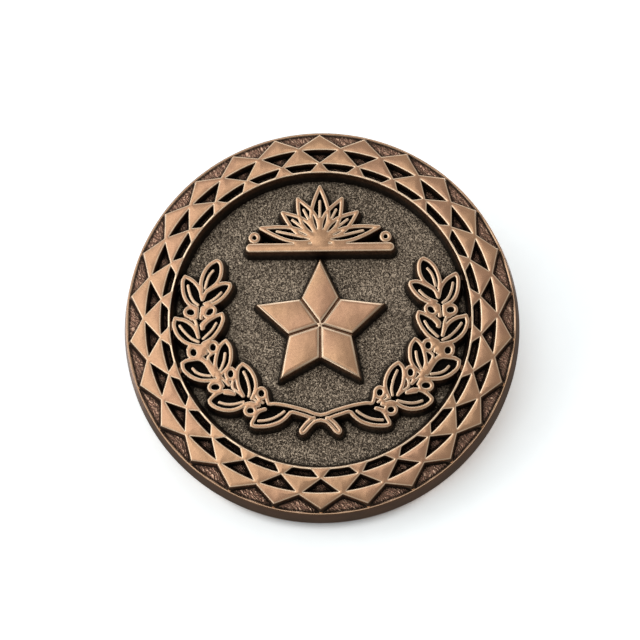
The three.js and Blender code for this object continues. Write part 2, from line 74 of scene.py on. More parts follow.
# The wreath's left half; the right half is its mirror image.
# One leaf: left edge from base to tip, right edge from base to tip, vein
LEAVES = [
    ([(-.632, .150), (-.636, .187), (-.628, .227), (-.610, .267), (-.583, .297), (-.552, .314)],
     [(-.605, .146), (-.583, .162), (-.560, .180), (-.542, .203), (-.531, .230), (-.527, .257),
      (-.528, .283), (-.537, .305), (-.552, .314)],
     [(-.613, .162), (-.603, .205), (-.590, .235), (-.572, .257)]),
    ([(-.655, .053), (-.677, .063), (-.697, .077), (-.715, .100), (-.729, .137), (-.734, .177),
      (-.732, .207), (-.722, .227)],
     [(-.627, .100), (-.632, .117), (-.637, .143), (-.650, .170), (-.673, .198), (-.700, .217),
      (-.722, .227)],
     [(-.650, .071), (-.670, .087), (-.687, .113), (-.699, .147), (-.705, .177)]),
    ([(-.624, .103), (-.610, .137), (-.587, .155), (-.560, .170), (-.533, .183), (-.507, .188),
      (-.482, .184)],
     [(-.625, .055), (-.587, .069), (-.560, .080), (-.533, .097), (-.507, .123), (-.487, .152),
      (-.479, .172), (-.482, .184)],
     [(-.617, .077), (-.587, .088), (-.553, .111), (-.528, .137)]),
    ([(-.632, -.153), (-.667, -.148), (-.703, -.137), (-.733, -.117), (-.757, -.090),
      (-.770, -.063), (-.777, -.033), (-.770, -.001)],
     [(-.645, -.105), (-.652, -.085), (-.662, -.062), (-.677, -.041), (-.700, -.023),
      (-.727, -.010), (-.750, -.006), (-.770, -.001)],
     [(-.745, -.042), (-.727, -.067), (-.703, -.093), (-.677, -.115), (-.645, -.130)]),
    ([(-.626, -.058), (-.612, -.033), (-.587, -.010), (-.553, .010), (-.522, .021)],
     [(-.617, -.137), (-.593, -.124), (-.570, -.107), (-.550, -.083), (-.533, -.057),
      (-.521, -.030), (-.515, -.003), (-.522, .021)],
     [(-.619, -.112), (-.597, -.090), (-.573, -.065), (-.552, -.030)]),
    ([(-.540, -.293), (-.553, -.260), (-.552, -.227), (-.545, -.193), (-.537, -.167),
      (-.523, -.143), (-.500, -.124)],
     [(-.527, -.308), (-.507, -.290), (-.487, -.267), (-.475, -.240), (-.471, -.210),
      (-.472, -.177), (-.480, -.150), (-.500, -.124)],
     [(-.503, -.193), (-.507, -.227), (-.517, -.260), (-.533, -.292)]),
    ([(-.545, -.335), (-.593, -.338), (-.633, -.335), (-.667, -.323), (-.697, -.303),
      (-.722, -.275), (-.728, -.243)],
     [(-.560, -.312), (-.570, -.297), (-.590, -.263), (-.613, -.235), (-.640, -.222),
      (-.673, -.224), (-.707, -.230), (-.728, -.243)],
     [(-.673, -.273), (-.653, -.293), (-.623, -.307), (-.580, -.313)]),
    ([(-.405, -.420), (-.417, -.398), (-.430, -.367), (-.437, -.333), (-.438, -.300),
      (-.430, -.270), (-.410, -.250)],
     [(-.359, -.435), (-.344, -.400), (-.338, -.367), (-.343, -.333), (-.357, -.300),
      (-.380, -.270), (-.410, -.250)],
     [(-.403, -.293), (-.387, -.327), (-.377, -.360), (-.372, -.393), (-.376, -.423)]),
    ([(-.452, -.410), (-.480, -.395), (-.510, -.395), (-.540, -.405), (-.567, -.425),
      (-.581, -.441)],
     [(-.397, -.466), (-.423, -.483), (-.460, -.495), (-.500, -.495), (-.533, -.487),
      (-.560, -.473), (-.578, -.455), (-.581, -.441)],
     [(-.530, -.454), (-.500, -.463), (-.467, -.465), (-.433, -.460), (-.403, -.452)]),
    ([(-.290, -.492), (-.315, -.500), (-.333, -.515), (-.345, -.537), (-.358, -.563),
      (-.358, -.575)],
     [(-.160, -.512), (-.183, -.538), (-.213, -.560), (-.257, -.576), (-.300, -.582),
      (-.343, -.581), (-.358, -.575)],
     [(-.323, -.553), (-.290, -.551), (-.250, -.541), (-.213, -.522), (-.190, -.505)]),
]
# x, y, half width and half height of the hole, turn in degrees
BERRIES = [
    (-.689, .031, .0215, .0170, -10), (-.587, .032, .0155, .0230, -48),
    (-.670, -.187, .0175, .0205, 15), (-.567, -.160, .0165, .0200, 0),
    (-.552, -.373, .0235, .0165, 0), (-.472, -.303, .0155, .0205, 0),
    (-.367, -.499, .0185, .0155, 0), (-.310, -.408, .0165, .0190, 10)]
# Further raised lines of the branch: points, width share
TWIGS = [
    ([(-.655, .053), (-.656, .025), (-.658, .003)], 1.15),
    ([(-.664, .052), (-.662, .020)], .8),
    ([(-.627, .052), (-.630, .028), (-.632, -.001)], 1.05),
    ([(-.615, .056), (-.616, .020)], 1.1),
    ([(-.605, .060), (-.608, .036)], .9),
    ([(-.687, -.003), (-.668, -.010), (-.658, -.030), (-.652, -.060), (-.647, -.090)], .9),
    ([(-.620, -.056), (-.630, -.040), (-.612, -.018), (-.588, .000), (-.560, .008)], 1.0),
    ([(-.622, -.045), (-.598, -.018)], 1.0),
    ([(-.620, -.138), (-.612, -.165), (-.603, -.193)], .95),
    ([(-.600, -.137), (-.597, -.165)], 1.1),
    ([(-.630, -.150), (-.625, -.175), (-.617, -.200)], 1.0),
    ([(-.645, -.153), (-.640, -.175), (-.634, -.198)], 1.1),
    ([(-.655, -.150), (-.650, -.163)], 1.0),
    ([(-.690, -.150), (-.700, -.172)], .9),
    ([(-.573, -.193), (-.592, -.213), (-.590, -.228), (-.567, -.262), (-.543, -.297),
      (-.510, -.333), (-.480, -.363)], .85),
    ([(-.660, -.213), (-.635, -.212), (-.612, -.226), (-.583, -.265), (-.560, -.298),
      (-.533, -.330), (-.512, -.366)], 1.0),
    ([(-.640, -.214), (-.610, -.230)], 1.1),
    ([(-.545, -.335), (-.528, -.350), (-.515, -.366)], 1.0),
    ([(-.493, -.318), (-.486, -.345), (-.478, -.362)], .9),
    ([(-.448, -.325), (-.462, -.350), (-.460, -.378), (-.437, -.397), (-.405, -.420)], .85),
    ([(-.500, -.402), (-.455, -.408)], 1.25),
    ([(-.540, -.398), (-.560, -.416)], 1.0),
    ([(-.397, -.466), (-.367, -.459), (-.345, -.464), (-.322, -.470)], 1.1),
    ([(-.342, -.477), (-.320, -.472)], .8),
    ([(-.357, -.433), (-.333, -.450), (-.302, -.458)], .75),
    ([(-.333, -.428), (-.317, -.447), (-.301, -.458)], .8),
    ([(-.283, -.420), (-.279, -.443), (-.270, -.463), (-.240, -.463), (-.200, -.468),
      (-.150, -.479), (-.100, -.493), (-.067, -.503), (-.033, -.517), (0, -.524)], .98),
    ([(-.292, -.492), (-.318, -.499), (-.340, -.508)], 1.15),
    ([(-.160, -.512), (-.147, -.508), (-.107, -.519), (-.073, -.530), (-.047, -.540),
      (-.033, -.541)], 1.0),
    ([(-.033, -.541), (-.050, -.547), (-.070, -.562), (-.090, -.585), (-.103, -.606),
      (-.096, -.619), (-.081, -.611), (-.068, -.596), (-.050, -.576), (-.030, -.559),
      (0, -.551)], .98),
]
# Centre lines of the stem's groove, whose floor is as shallow as a leaf's
STEMS = [
    [(-.634, .098), (-.641, .050), (-.645, 0), (-.640, -.050), (-.635, -.105), (-.624, -.150),
     (-.607, -.205), (-.580, -.250), (-.555, -.290), (-.522, -.333), (-.485, -.372),
     (-.430, -.410), (-.370, -.440), (-.310, -.466), (-.270, -.476), (-.200, -.486),
     (-.150, -.493), (-.100, -.507), (-.050, -.523), (0, -.538)],
    [(0, -.538), (-.045, -.562), (-.090, -.603)]]
STEM_WIDTH = .034

# Crest: a fan of outlined leaves on a bar that has a boss at its middle and a scroll at each end
CREST_Y = .418
FAN_START = .03                 # distance of the leaf bases from the fan's centre
FAN = [(0, .300, .046), (27, .262, .042), (52, .255, .040), (77, .325, .036)]  # degrees, reach, half width
# share of a fan leaf's length, share of its half width
LEAF_FORM = [(0, 0), (.05, .30), (.14, .62), (.25, .87), (.38, 1.0), (.52, .97), (.66, .78),
             (.80, .50), (.92, .20), (1, 0)]
CREST_BAR, CREST_BAR_WIDTH = [(-.374, .381), (.374, .381)], .046
BOSS_R, BOSS_LINE = .026, .05
SCROLL_X, SCROLL_Y, SCROLL_R = .352, .437, .0215

STAR_R, STAR_IN, STAR_Y = .358, .172, -.042     # tips, inner corners, centre height
GROOVE_START, GROOVE_END = .018, STAR_IN * 1.3  # grooves from the centre past the inner corners
GROOVE_MM = .22

# Border: radii, and half widths in repeats
REPEATS = 26
ZIGZAG_TIP, ZIGZAG_NOTCH, BORDER_IN = 1.014, .9445, .799
TRIANGLE_R, TRIANGLE_HALF, TRIANGLE_TIP = .9285, .412, .857
# Pocket between two triangles: (radius, half width) of its arcs and corners
OUTER_CORNER, OUTER_ARC = (.8475, .42), (.8490, .39)
INNER_CORNER, INNER_ARC = (.8135, .272), (.8095, .225)

# The bead round the face: radius in drawing units, height over the recess floor in mm
BEAD = [(1.0255, 0.0), (1.0285, .030), (1.0320, .065), (1.0355, .070), (1.0385, .045),
        (1.04, 0.0)]
BEAD_FOOT = BEAD[0][0] * UNIT


def mm(points, side=1):
    """Drawing units to mm; side -1 mirrors left to right."""
    return [(side * x * UNIT, y * UNIT) for x, y in points]


def polar(radius, step):
    """A point at a radius and a clockwise angle in border repeats, from the top."""
    angle = step * 2 * math.pi / REPEATS
    return (radius * UNIT * math.sin(angle), radius * UNIT * math.cos(angle))


def spline(points, per):
    """Centripetal Catmull-Rom curve with a number of steps per span."""
    points = [np.array(point, float) for point in points]
    points = [2 * points[0] - points[1]] + points + [2 * points[-1] - points[-2]]

    def between(first, second, start, end):
        return (end - t) / (end - start) * first + (t - start) / (end - start) * second

    curve = []
    for i in range(1, len(points) - 2):
        four = points[i - 1:i + 3]
        knots = [0.0]
        for first, second in zip(four[:-1], four[1:]):
            knots.append(knots[-1] + max(np.linalg.norm(second - first), 1e-6) ** .5)
        for k in range(per):
            t = knots[1] + (knots[2] - knots[1]) * k / per
            sides = [between(four[j], four[j + 1], knots[j], knots[j + 1]) for j in range(3)]
            before = between(sides[0], sides[1], knots[0], knots[2])
            after = between(sides[1], sides[2], knots[1], knots[3])
            curve.append(tuple(between(before, after, knots[1], knots[2])))
    curve.append(tuple(points[-2]))
    return curve


def smooth(points):
    return spline(points, 7) if len(points) > 2 else points


def ellipse(x, y, half_x, half_y, degrees, count=40):
    cos, sin = math.cos(math.radians(degrees)), math.sin(math.radians(degrees))
    return [(x + half_x * math.cos(t) * cos - half_y * math.sin(t) * sin,
             y + half_x * math.cos(t) * sin + half_y * math.sin(t) * cos)
            for t in np.linspace(0, 2 * math.pi, count, endpoint=False)]


# =============================================================================
# Rasters: depth into the raised shapes in mm, negative outside
# =============================================================================
HALF = DISC_R + 0.6
SIZE = int(round(2 * HALF / GRID_STEP)) + 1
GRID = np.linspace(-HALF, HALF, SIZE)
STEP = GRID[1] - GRID[0]


def span(axis, values, reach):
    """The slice of an axis that covers the values and a margin."""
    first = max(0, int((min(values) - reach - axis[0]) / STEP))
    last = min(len(axis), int((max(values) + reach - axis[0]) / STEP) + 2)
    return slice(first, last)


def fill(mask, polygon):
    """Flips the mask inside a polygon."""
    for (x0, y0), (x1, y1) in zip(polygon, polygon[1:] + polygon[:1]):
        if y0 > y1:
            x0, y0, x1, y1 = x1, y1, x0, y0
        for j in range(int(np.searchsorted(GRID, y0)), int(np.searchsorted(GRID, y1))):
            x = x0 + (x1 - x0) * (GRID[j] - y0) / (y1 - y0)
            mask[j, int(np.searchsorted(GRID, x)):] ^= True


def polygon_depth(polygons, reach):
    """Depth into polygons combined by the even-odd rule, true up to a reach."""
    inside = np.zeros((SIZE, SIZE), bool)
    squared = np.full((SIZE, SIZE), reach * reach)
    for polygon in polygons:
        fill(inside, polygon)
        for (x0, y0), (x1, y1) in zip(polygon, polygon[1:] + polygon[:1]):
            columns, rows = span(GRID, (x0, x1), reach), span(GRID, (y0, y1), reach)
            x, y = GRID[columns][None, :], GRID[rows][:, None]
            run, rise = x1 - x0, y1 - y0
            length2 = run * run + rise * rise
            t = 0
            if length2 >= 1e-12:
                t = np.clip(((x - x0) * run + (y - y0) * rise) / length2, 0, 1)
            off_x, off_y = x - (x0 + t * run), y - (y0 + t * rise)
            part = squared[rows, columns]
            np.minimum(part, off_x * off_x + off_y * off_y, out=part)
    distance = np.sqrt(squared)
    return np.where(inside, distance, -distance)


def add_stroke(depth, line, width):
    """Adds a round-ended stroke to a union of shapes."""
    reach = width / 2 + .25
    xs, ys = zip(*line)
    columns, rows = span(GRID, xs, reach), span(GRID, ys, reach)
    near_x, near_y = GRID[columns], GRID[rows]
    squared = np.full((len(near_y), len(near_x)), 1e3)
    for (x0, y0), (x1, y1) in zip(line[:-1], line[1:]):
        across, up = span(near_x, (x0, x1), reach), span(near_y, (y0, y1), reach)
        x, y = near_x[across][None, :], near_y[up][:, None]
        run, rise = x1 - x0, y1 - y0
        length2 = max(run * run + rise * rise, 1e-12)
        t = np.clip(((x - x0) * run + (y - y0) * rise) / length2, 0, 1)
        part = squared[up, across]
        np.minimum(part, (x - x0 - t * run) ** 2 + (y - y0 - t * rise) ** 2, out=part)
    part = depth[rows, columns]
    np.maximum(part, width / 2 - np.sqrt(squared), out=part)


def strokes(lines, width):
    depth = np.full((SIZE, SIZE), -1.0)
    for line in lines:
        add_stroke(depth, line, width)
    return depth


def border_polygons():
    """A ring with a zigzag outer edge and two kinds of pocket."""
    def arc_at(radius, step, start, end, count):
        return [polar(radius, step + start + (end - start) * k / count)
                for k in range(count + 1)]

    zigzag, inner, pockets = [], [], []
    for s in range(REPEATS):
        zigzag += [polar(ZIGZAG_TIP, s), polar(ZIGZAG_NOTCH, s + .5)]
        inner += [polar(BORDER_IN, s + k / 12) for k in range(12)]
        pockets.append(arc_at(TRIANGLE_R, s, -TRIANGLE_HALF, TRIANGLE_HALF, 10)
                       + [polar(TRIANGLE_TIP, s)])
        middle = s + .5
        (outer_r, outer_half), (inner_r, inner_half) = OUTER_ARC, INNER_ARC
        pockets.append(
            [polar(OUTER_CORNER[0], middle - OUTER_CORNER[1])]
            + arc_at(outer_r, s, .5 - outer_half, .5 + outer_half, 10)
            + [polar(OUTER_CORNER[0], middle + OUTER_CORNER[1]),
               polar(INNER_CORNER[0], middle + INNER_CORNER[1])]
            + arc_at(inner_r, s, .5 + inner_half, .5 - inner_half, 5)
            + [polar(INNER_CORNER[0], middle - INNER_CORNER[1])])
    return [zigzag, inner] + pockets


def star_point(radius, i):
    angle, reach = i * math.pi / 5, radius * UNIT
    return (reach * math.sin(angle), STAR_Y * UNIT + reach * math.cos(angle))


raised = polygon_depth(border_polygons(), reach=.7)

# The star, cut by five narrow grooves
star = polygon_depth([[star_point(STAR_IN if i % 2 else STAR_R, i) for i in range(10)]], reach=.7)
star_zone = star > -.3
grooves = strokes([[star_point(GROOVE_START, i), star_point(GROOVE_END, i)]
                   for i in range(1, 10, 2)], GROOVE_MM)
star = np.minimum(star, -grooves)
raised = np.maximum(raised, star)

pocket = np.zeros((SIZE, SIZE), bool)      # inside a leaf, a berry, a scroll or the stem's groove


def fill_pocket(polygon):
    inside = np.zeros((SIZE, SIZE), bool)
    fill(inside, polygon)
    np.logical_or(pocket, inside, out=pocket)


def draw_leaf(left, right, vein, side):
    left, right = mm(smooth(left), side), mm(smooth(right), side)
    add_stroke(raised, left, LINE * UNIT * LEAF_SHARE)
    add_stroke(raised, right, LINE * UNIT * LEAF_SHARE)
    add_stroke(raised, mm(smooth(vein), side), LINE * UNIT * VEIN_SHARE)
    fill_pocket(left + right[::-1])


def draw_hoop(ring):
    add_stroke(raised, ring + [ring[0]], LINE * UNIT * HOOP_SHARE)
    fill_pocket(ring)


def draw_wreath(side):
    for left, right, vein in LEAVES:
        draw_leaf(left, right, vein, side)
    for x, y, half_x, half_y, degrees in BERRIES:
        ring = ellipse(x * UNIT, y * UNIT, (half_x + LINE * .5) * UNIT,
                       (half_y + LINE * .5) * UNIT, degrees)
        draw_hoop([(side * x, y) for x, y in ring])
    for points, share in TWIGS:
        add_stroke(raised, mm(smooth(points), side), LINE * UNIT * TWIG_SHARE * share)
    groove = strokes([mm(smooth(stem), side) for stem in STEMS], STEM_WIDTH * UNIT)
    np.logical_or(pocket, groove > 0, out=pocket)


def draw_fan(side):
    for degrees, reach, half in FAN:
        sin, cos = math.sin(math.radians(degrees)), math.cos(math.radians(degrees))

        def put(t, offset):
            along = FAN_START + t * (reach - FAN_START)
            return (sin * along + cos * offset, CREST_Y + cos * along - sin * offset)
        draw_leaf([put(t, -share * half) for t, share in LEAF_FORM],
                  [put(t, share * half) for t, share in LEAF_FORM],
                  [put(t, 0) for t in (.22, .45, .70)], side)


for side in (1, -1):
    draw_wreath(side)
    draw_fan(side)
    draw_hoop(ellipse(side * SCROLL_X * UNIT, SCROLL_Y * UNIT, SCROLL_R * UNIT,
                      SCROLL_R * UNIT, 0))
crest_bar = strokes([mm(CREST_BAR)], CREST_BAR_WIDTH * UNIT)
raised = np.maximum(raised, crest_bar)
bar_zone = crest_bar > 0
add_stroke(raised, ellipse(0, CREST_Y * UNIT, BOSS_R * UNIT, BOSS_R * UNIT, 0, 24),
           BOSS_LINE * UNIT)


# =============================================================================
# Contours
# =============================================================================
def contours(field, level):
    """Closed lines in mm where a raster crosses a level."""
    over = field - level
    over[over == 0] = 1e-9
    positive = over > 0
    across = positive[:, :-1] != positive[:, 1:]
    upward = positive[:-1, :] != positive[1:, :]
    sides = (across[:-1], across[1:], upward[:, :-1], upward[:, 1:])
    rows, columns = np.argwhere(sides[0] | sides[1] | sides[2] | sides[3]).T
    hits = np.stack([side[rows, columns] for side in sides], 1)
    # a grid edge is numbered by its first node; upward edges come after all the level ones
    nodes, corner = SIZE * SIZE, rows * SIZE + columns
    ids = np.stack([corner, corner + SIZE, nodes + corner, nodes + corner + 1], 1)
    ids = np.where(hits, ids, -1)
    two = hits.sum(1) == 2
    # in a saddle cell the centre's sign decides which corners are cut off
    j, i, four = rows[~two], columns[~two], ids[~two]
    middle = over[j, i] + over[j + 1, i] + over[j, i + 1] + over[j + 1, i + 1] > 0
    same = (middle == positive[j, i])[:, None]
    pairs = np.concatenate([-np.sort(-ids[two], axis=1)[:, :2],
                            np.where(same, four[:, [0, 3]], four[:, [0, 2]]),
                            np.where(same, four[:, [1, 2]], four[:, [1, 3]])])
    neighbours = {}
    for first, second in pairs.tolist():
        neighbours.setdefault(first, []).append(second)
        neighbours.setdefault(second, []).append(first)

    flat, seen, lines = over.ravel(), set(), []
    for start in neighbours:
        if start in seen:
            continue
        loop, previous, current = [start], None, start
        seen.add(start)
        while True:
            following = [edge for edge in neighbours[current] if edge != previous]
            if not following or following[0] in seen:
                break
            previous, current = current, following[0]
            loop.append(current)
            seen.add(current)
        if len(loop) <= 6:
            continue
        loop = np.array(loop)
        level_edge, node = loop < nodes, loop % nodes
        here, beyond = flat[node], flat[node + np.where(level_edge, 1, SIZE)]
        t = here / (here - beyond)
        x = GRID[node % SIZE] + np.where(level_edge, t, 0) * STEP
        y = GRID[node // SIZE] + np.where(level_edge, 0, t) * STEP
        lines.append(np.stack([x, y], 1))
    return lines


def simplify(line, tolerance):
    """Douglas-Peucker on a closed line."""
    count = len(line)
    if count < 8:
        return line
    far = int(np.argmax(((line - line[0]) ** 2).sum(1)))
    closed = np.concatenate([line, line[:1]])
    keep = np.zeros(count + 1, bool)
    keep[[0, far, count]] = True
    stack = [(0, far), (far, count)]
    while stack:
        first, last = stack.pop()
        if last - first < 2:
            continue
        chord = closed[last] - closed[first]
        length = math.hypot(chord[0], chord[1])
        offset = closed[first + 1:last] - closed[first]
        if length > 1e-9:
            distance = np.abs(offset[:, 0] * chord[1] - offset[:, 1] * chord[0]) / length
        else:
            distance = np.hypot(offset[:, 0], offset[:, 1])
        i = int(np.argmax(distance))
        if distance[i] > tolerance:
            cut_at = first + 1 + i
            keep[cut_at] = True
            stack += [(first, cut_at), (cut_at, last)]
    return closed[:-1][keep[:-1]]


# True distance to the outline of the union
outline = [simplify(line, .003).tolist() for line in contours(raised, 0.0)]
depth = polygon_depth(outline, reach=.65)

grid_x, grid_y = np.meshgrid(GRID, GRID)
grid_r = np.hypot(grid_x, grid_y)
in_border = grid_r > .7992 * UNIT


def by_zone(wreath, border, star, bar):
    """A raster with one value for each part of the relief."""
    values = np.full((SIZE, SIZE), wreath)
    values[in_border] = border
    values[star_zone] = star
    values[bar_zone] = bar
    return values


# In mm: the rounded shoulder's width inside an edge, its fall, and the wall's width outside it
shoulder = by_zone(wreath=.150, border=.17, star=.30, bar=.20)
fall = by_zone(wreath=.115, border=.085, star=.19, bar=.15)
pillow = by_zone(wreath=.11, border=.095, star=.08, bar=.08)   # slope of the raised faces' crown
draft = np.full((SIZE, SIZE), .36)
draft[in_border] = .27
draft[in_border & (grid_r < .853 * UNIT)] = .22
draft[pocket] = .13
draft[star_zone & (grooves > -.02) & (star < 0)] = .40

# 1 and above on the flat tops, 0 at their edges, -1 and below on the floors
relief = np.clip(np.where(depth > 0, depth / shoulder, depth / draft), -1.6, 1.6)

# Mesh lines: level of the relief, tolerance in mm
LEVELS = [(1.0, .005), (.62, .004), (.30, .004), (.10, .004), (0.0, .004), (-.12, .005),
          (-.45, .008), (-.75, .008), (-1.0, .006)]
CROWN_LINE = (.40, .010)        # depth into the raised faces and tolerance, in mm
loops = []
for field, level, tolerance in [(relief, *row) for row in LEVELS] + [(depth, *CROWN_LINE)]:
    for line in contours(field, level):
        line = simplify(line, tolerance)
        if len(line) > 3:
            loops.append(line)


def circle(radius, count):
    t = 2 * math.pi * np.arange(count) / count
    return np.stack([radius * np.sin(t), radius * np.cos(t)], 1)


RIM_COUNT = 24 * REPEATS
for radius, _ in BEAD[:-1]:
    loops.append(circle(radius * UNIT, 12 * REPEATS))
loops.append(circle(LIP_R, RIM_COUNT))


def triangulate(loops):
    """Points and triangles, all wound the same way, that keep to the loops."""
    edges, count = [], 0
    for line in loops:
        i = np.arange(len(line))
        edges.append(np.stack([count + i, count + (i + 1) % len(line)], 1))
        count += len(line)
    made = delaunay_2d_cdt([Vector(point) for point in np.concatenate(loops).tolist()],
                           [tuple(edge) for edge in np.concatenate(edges).tolist()],
                           [], 0, 1e-5, False)
    points = np.array([tuple(point) for point in made[0]])
    triangles = np.array([tuple(face) for face in made[2]])
    p0, p1, p2 = (points[triangles[:, k]] for k in range(3))
    area = ((p1[:, 0] - p0[:, 0]) * (p2[:, 1] - p0[:, 1])
            - (p1[:, 1] - p0[:, 1]) * (p2[:, 0] - p0[:, 0]))
    triangles[area < 0] = triangles[area < 0][:, ::-1]
    return points, triangles[np.abs(area) > 1e-9]


points, triangles = triangulate(loops)


# =============================================================================
# Heights and normals of the face
# =============================================================================
def sample(raster, places):
    """Bilinear values of a raster."""
    across = np.clip((places[:, 0] + HALF) / STEP, 0, SIZE - 1.001)
    up = np.clip((places[:, 1] + HALF) / STEP, 0, SIZE - 1.001)
    i, j = across.astype(int), up.astype(int)
    part_x, part_y = across - i, up - j
    lower = raster[j, i] * (1 - part_x) + raster[j, i + 1] * part_x
    upper = raster[j + 1, i] * (1 - part_x) + raster[j + 1, i + 1] * part_x
    return lower * (1 - part_y) + upper * part_y


def blur(raster, reach):
    """Box blur over a number of grid steps each way."""
    width = 2 * reach + 1
    for axis in (0, 1):
        pads = [(reach + 1, reach) if k == axis else (0, 0) for k in (0, 1)]
        total = np.cumsum(np.pad(raster, pads, mode="edge"), axis=axis)
        count = raster.shape[axis]
        upper = np.take(total, range(width, width + count), axis=axis)
        lower = np.take(total, range(0, count), axis=axis)
        raster = (upper - lower) / width
    return raster


def normalised(vectors, least=1e-12):
    return vectors / np.maximum(np.linalg.norm(vectors, axis=-1), least)[..., None]


field_floor = blur(blur(np.where(pocket, POCKET_H, FIELD_H), 5), 4)
floor_at = sample(np.where(in_border, RECESS_H, field_floor), points)
fall_at = sample(fall, points)
depth_at = sample(depth, points)
relief_at = np.clip(sample(relief, points), -1, 1)
relief_at = np.where(relief_at > .965, 1.0, np.where(relief_at < -.975, -1.0, relief_at))
radius_at = np.hypot(points[:, 0], points[:, 1])
on_rim = radius_at > LIP_R - 1e-3

# A quarter-round shoulder down to the edge, then a straight wall to the floor
shoulder_part = np.clip(relief_at, 0, 1)
arch = 1 - np.sqrt(np.clip(1 - (1 - shoulder_part) ** 2, 0, 1))
edge_h = THICK - fall_at
height = np.where(relief_at >= 0, THICK - fall_at * arch,
                  floor_at + (edge_h - floor_at) * (1 + np.clip(relief_at, -1, 0)))
bead = np.interp(radius_at / UNIT, [row[0] for row in BEAD], [row[1] for row in BEAD])
height = np.maximum(height, RECESS_H * (radius_at > .9 * UNIT)
                    + np.where(radius_at > BEAD_FOOT, bead, 0))
height[on_rim] = RECESS_H
surface = np.stack([points[:, 0], points[:, 1], height], 1)


def point_normals():
    """Smooth normals from the depth's gradient; also the gradient's length."""
    gradient_y, gradient_x = np.gradient(depth, STEP)
    toward_x, toward_y = sample(gradient_x, points), sample(gradient_y, points)
    length = np.hypot(toward_x, toward_y)
    shoulder_at, draft_at = sample(shoulder, points), sample(draft, points)
    wall = (edge_h - floor_at) / np.maximum(draft_at, .05)
    rounding = (fall_at / np.maximum(shoulder_at, .05) * (1 - shoulder_part)
                / np.sqrt(np.clip(1 - (1 - shoulder_part) ** 2, 1e-4, 1)))
    crown = (sample(pillow, points) * np.clip(1 - (depth_at - shoulder_at) / .62, 0, 1)
             * (length > .55))
    softened = np.minimum(rounding, 3.0) * .33
    slope = np.where(relief_at >= .999, crown,
                     np.where(relief_at >= 0, np.maximum(softened, crown), wall))
    normals = np.stack([-slope * toward_x / np.maximum(length, 1e-6),
                        -slope * toward_y / np.maximum(length, 1e-6),
                        np.ones(len(points))], 1)
    return normalised(normals), length


smooth_normals, gradient_length = point_normals()
face_normals = normalised(np.cross(surface[triangles[:, 1]] - surface[triangles[:, 0]],
                                   surface[triangles[:, 2]] - surface[triangles[:, 0]]))
own_normals = np.repeat(face_normals[:, None, :], 3, 1)
relief_of = relief_at[triangles]
centre = points[triangles].mean(1)
centre_r = np.hypot(centre[:, 0], centre[:, 1])

# Corners where the smooth normal can't be trusted keep their face's normal
corner_normals = smooth_normals[triangles].copy()
weak = (gradient_length[triangles] < .86) & (relief_of < .98)
corner_normals[weak] = own_normals[weak]
away = (corner_normals * face_normals[:, None, :]).sum(2) < .55
corner_normals[away] = own_normals[away]
level_face = np.abs(face_normals[:, 2]) > .9995
corner_normals[level_face & (relief_of.min(1) < .98)] = (0, 0, 1)
on_bead = (centre_r > BEAD_FOOT) & (relief_of.max(1) < -.95)
corner_normals[on_bead] = own_normals[on_bead]

# Material slots; the first covers raised faces, walls and the bead
COPPER, FIELD, RECESS, POCKET, SIDE, BACK = range(6)
slots = np.full(len(triangles), COPPER)
low = relief_of.max(1) < -.97
in_pocket = sample(pocket.astype(float), centre) > .5
inside_border = centre_r < .79 * UNIT
slots[low & inside_border & ~in_pocket] = FIELD
slots[low & inside_border & in_pocket] = POCKET
slots[low & ~inside_border] = RECESS
slots[centre_r > BEAD_FOOT] = COPPER

# =============================================================================
# Side wall and back: rings that start from the face's outline
# =============================================================================
# radius, h. A shallow ring groove runs round the back; the last rings only divide it.
PROFILE = [
    (LIP_R, RECESS_H), (LIP_R + .018, RECESS_H - .035), (LIP_R + .035, RECESS_H - .12),
    (DISC_R - .045, .36), (DISC_R - .008, .20), (DISC_R, .12),
    (DISC_R - .02, .05), (DISC_R - .07, .012), (DISC_R - .15, 0),
    (DISC_R - 1.05, 0), (DISC_R - 1.11, .05), (DISC_R - 1.20, .075), (DISC_R - 1.29, .05),
    (DISC_R - 1.35, 0), (15.0, 0), (11.0, 0), (7.0, 0), (3.0, 0)]
SIDE_BANDS = 8                  # bands of the profile that count as the side


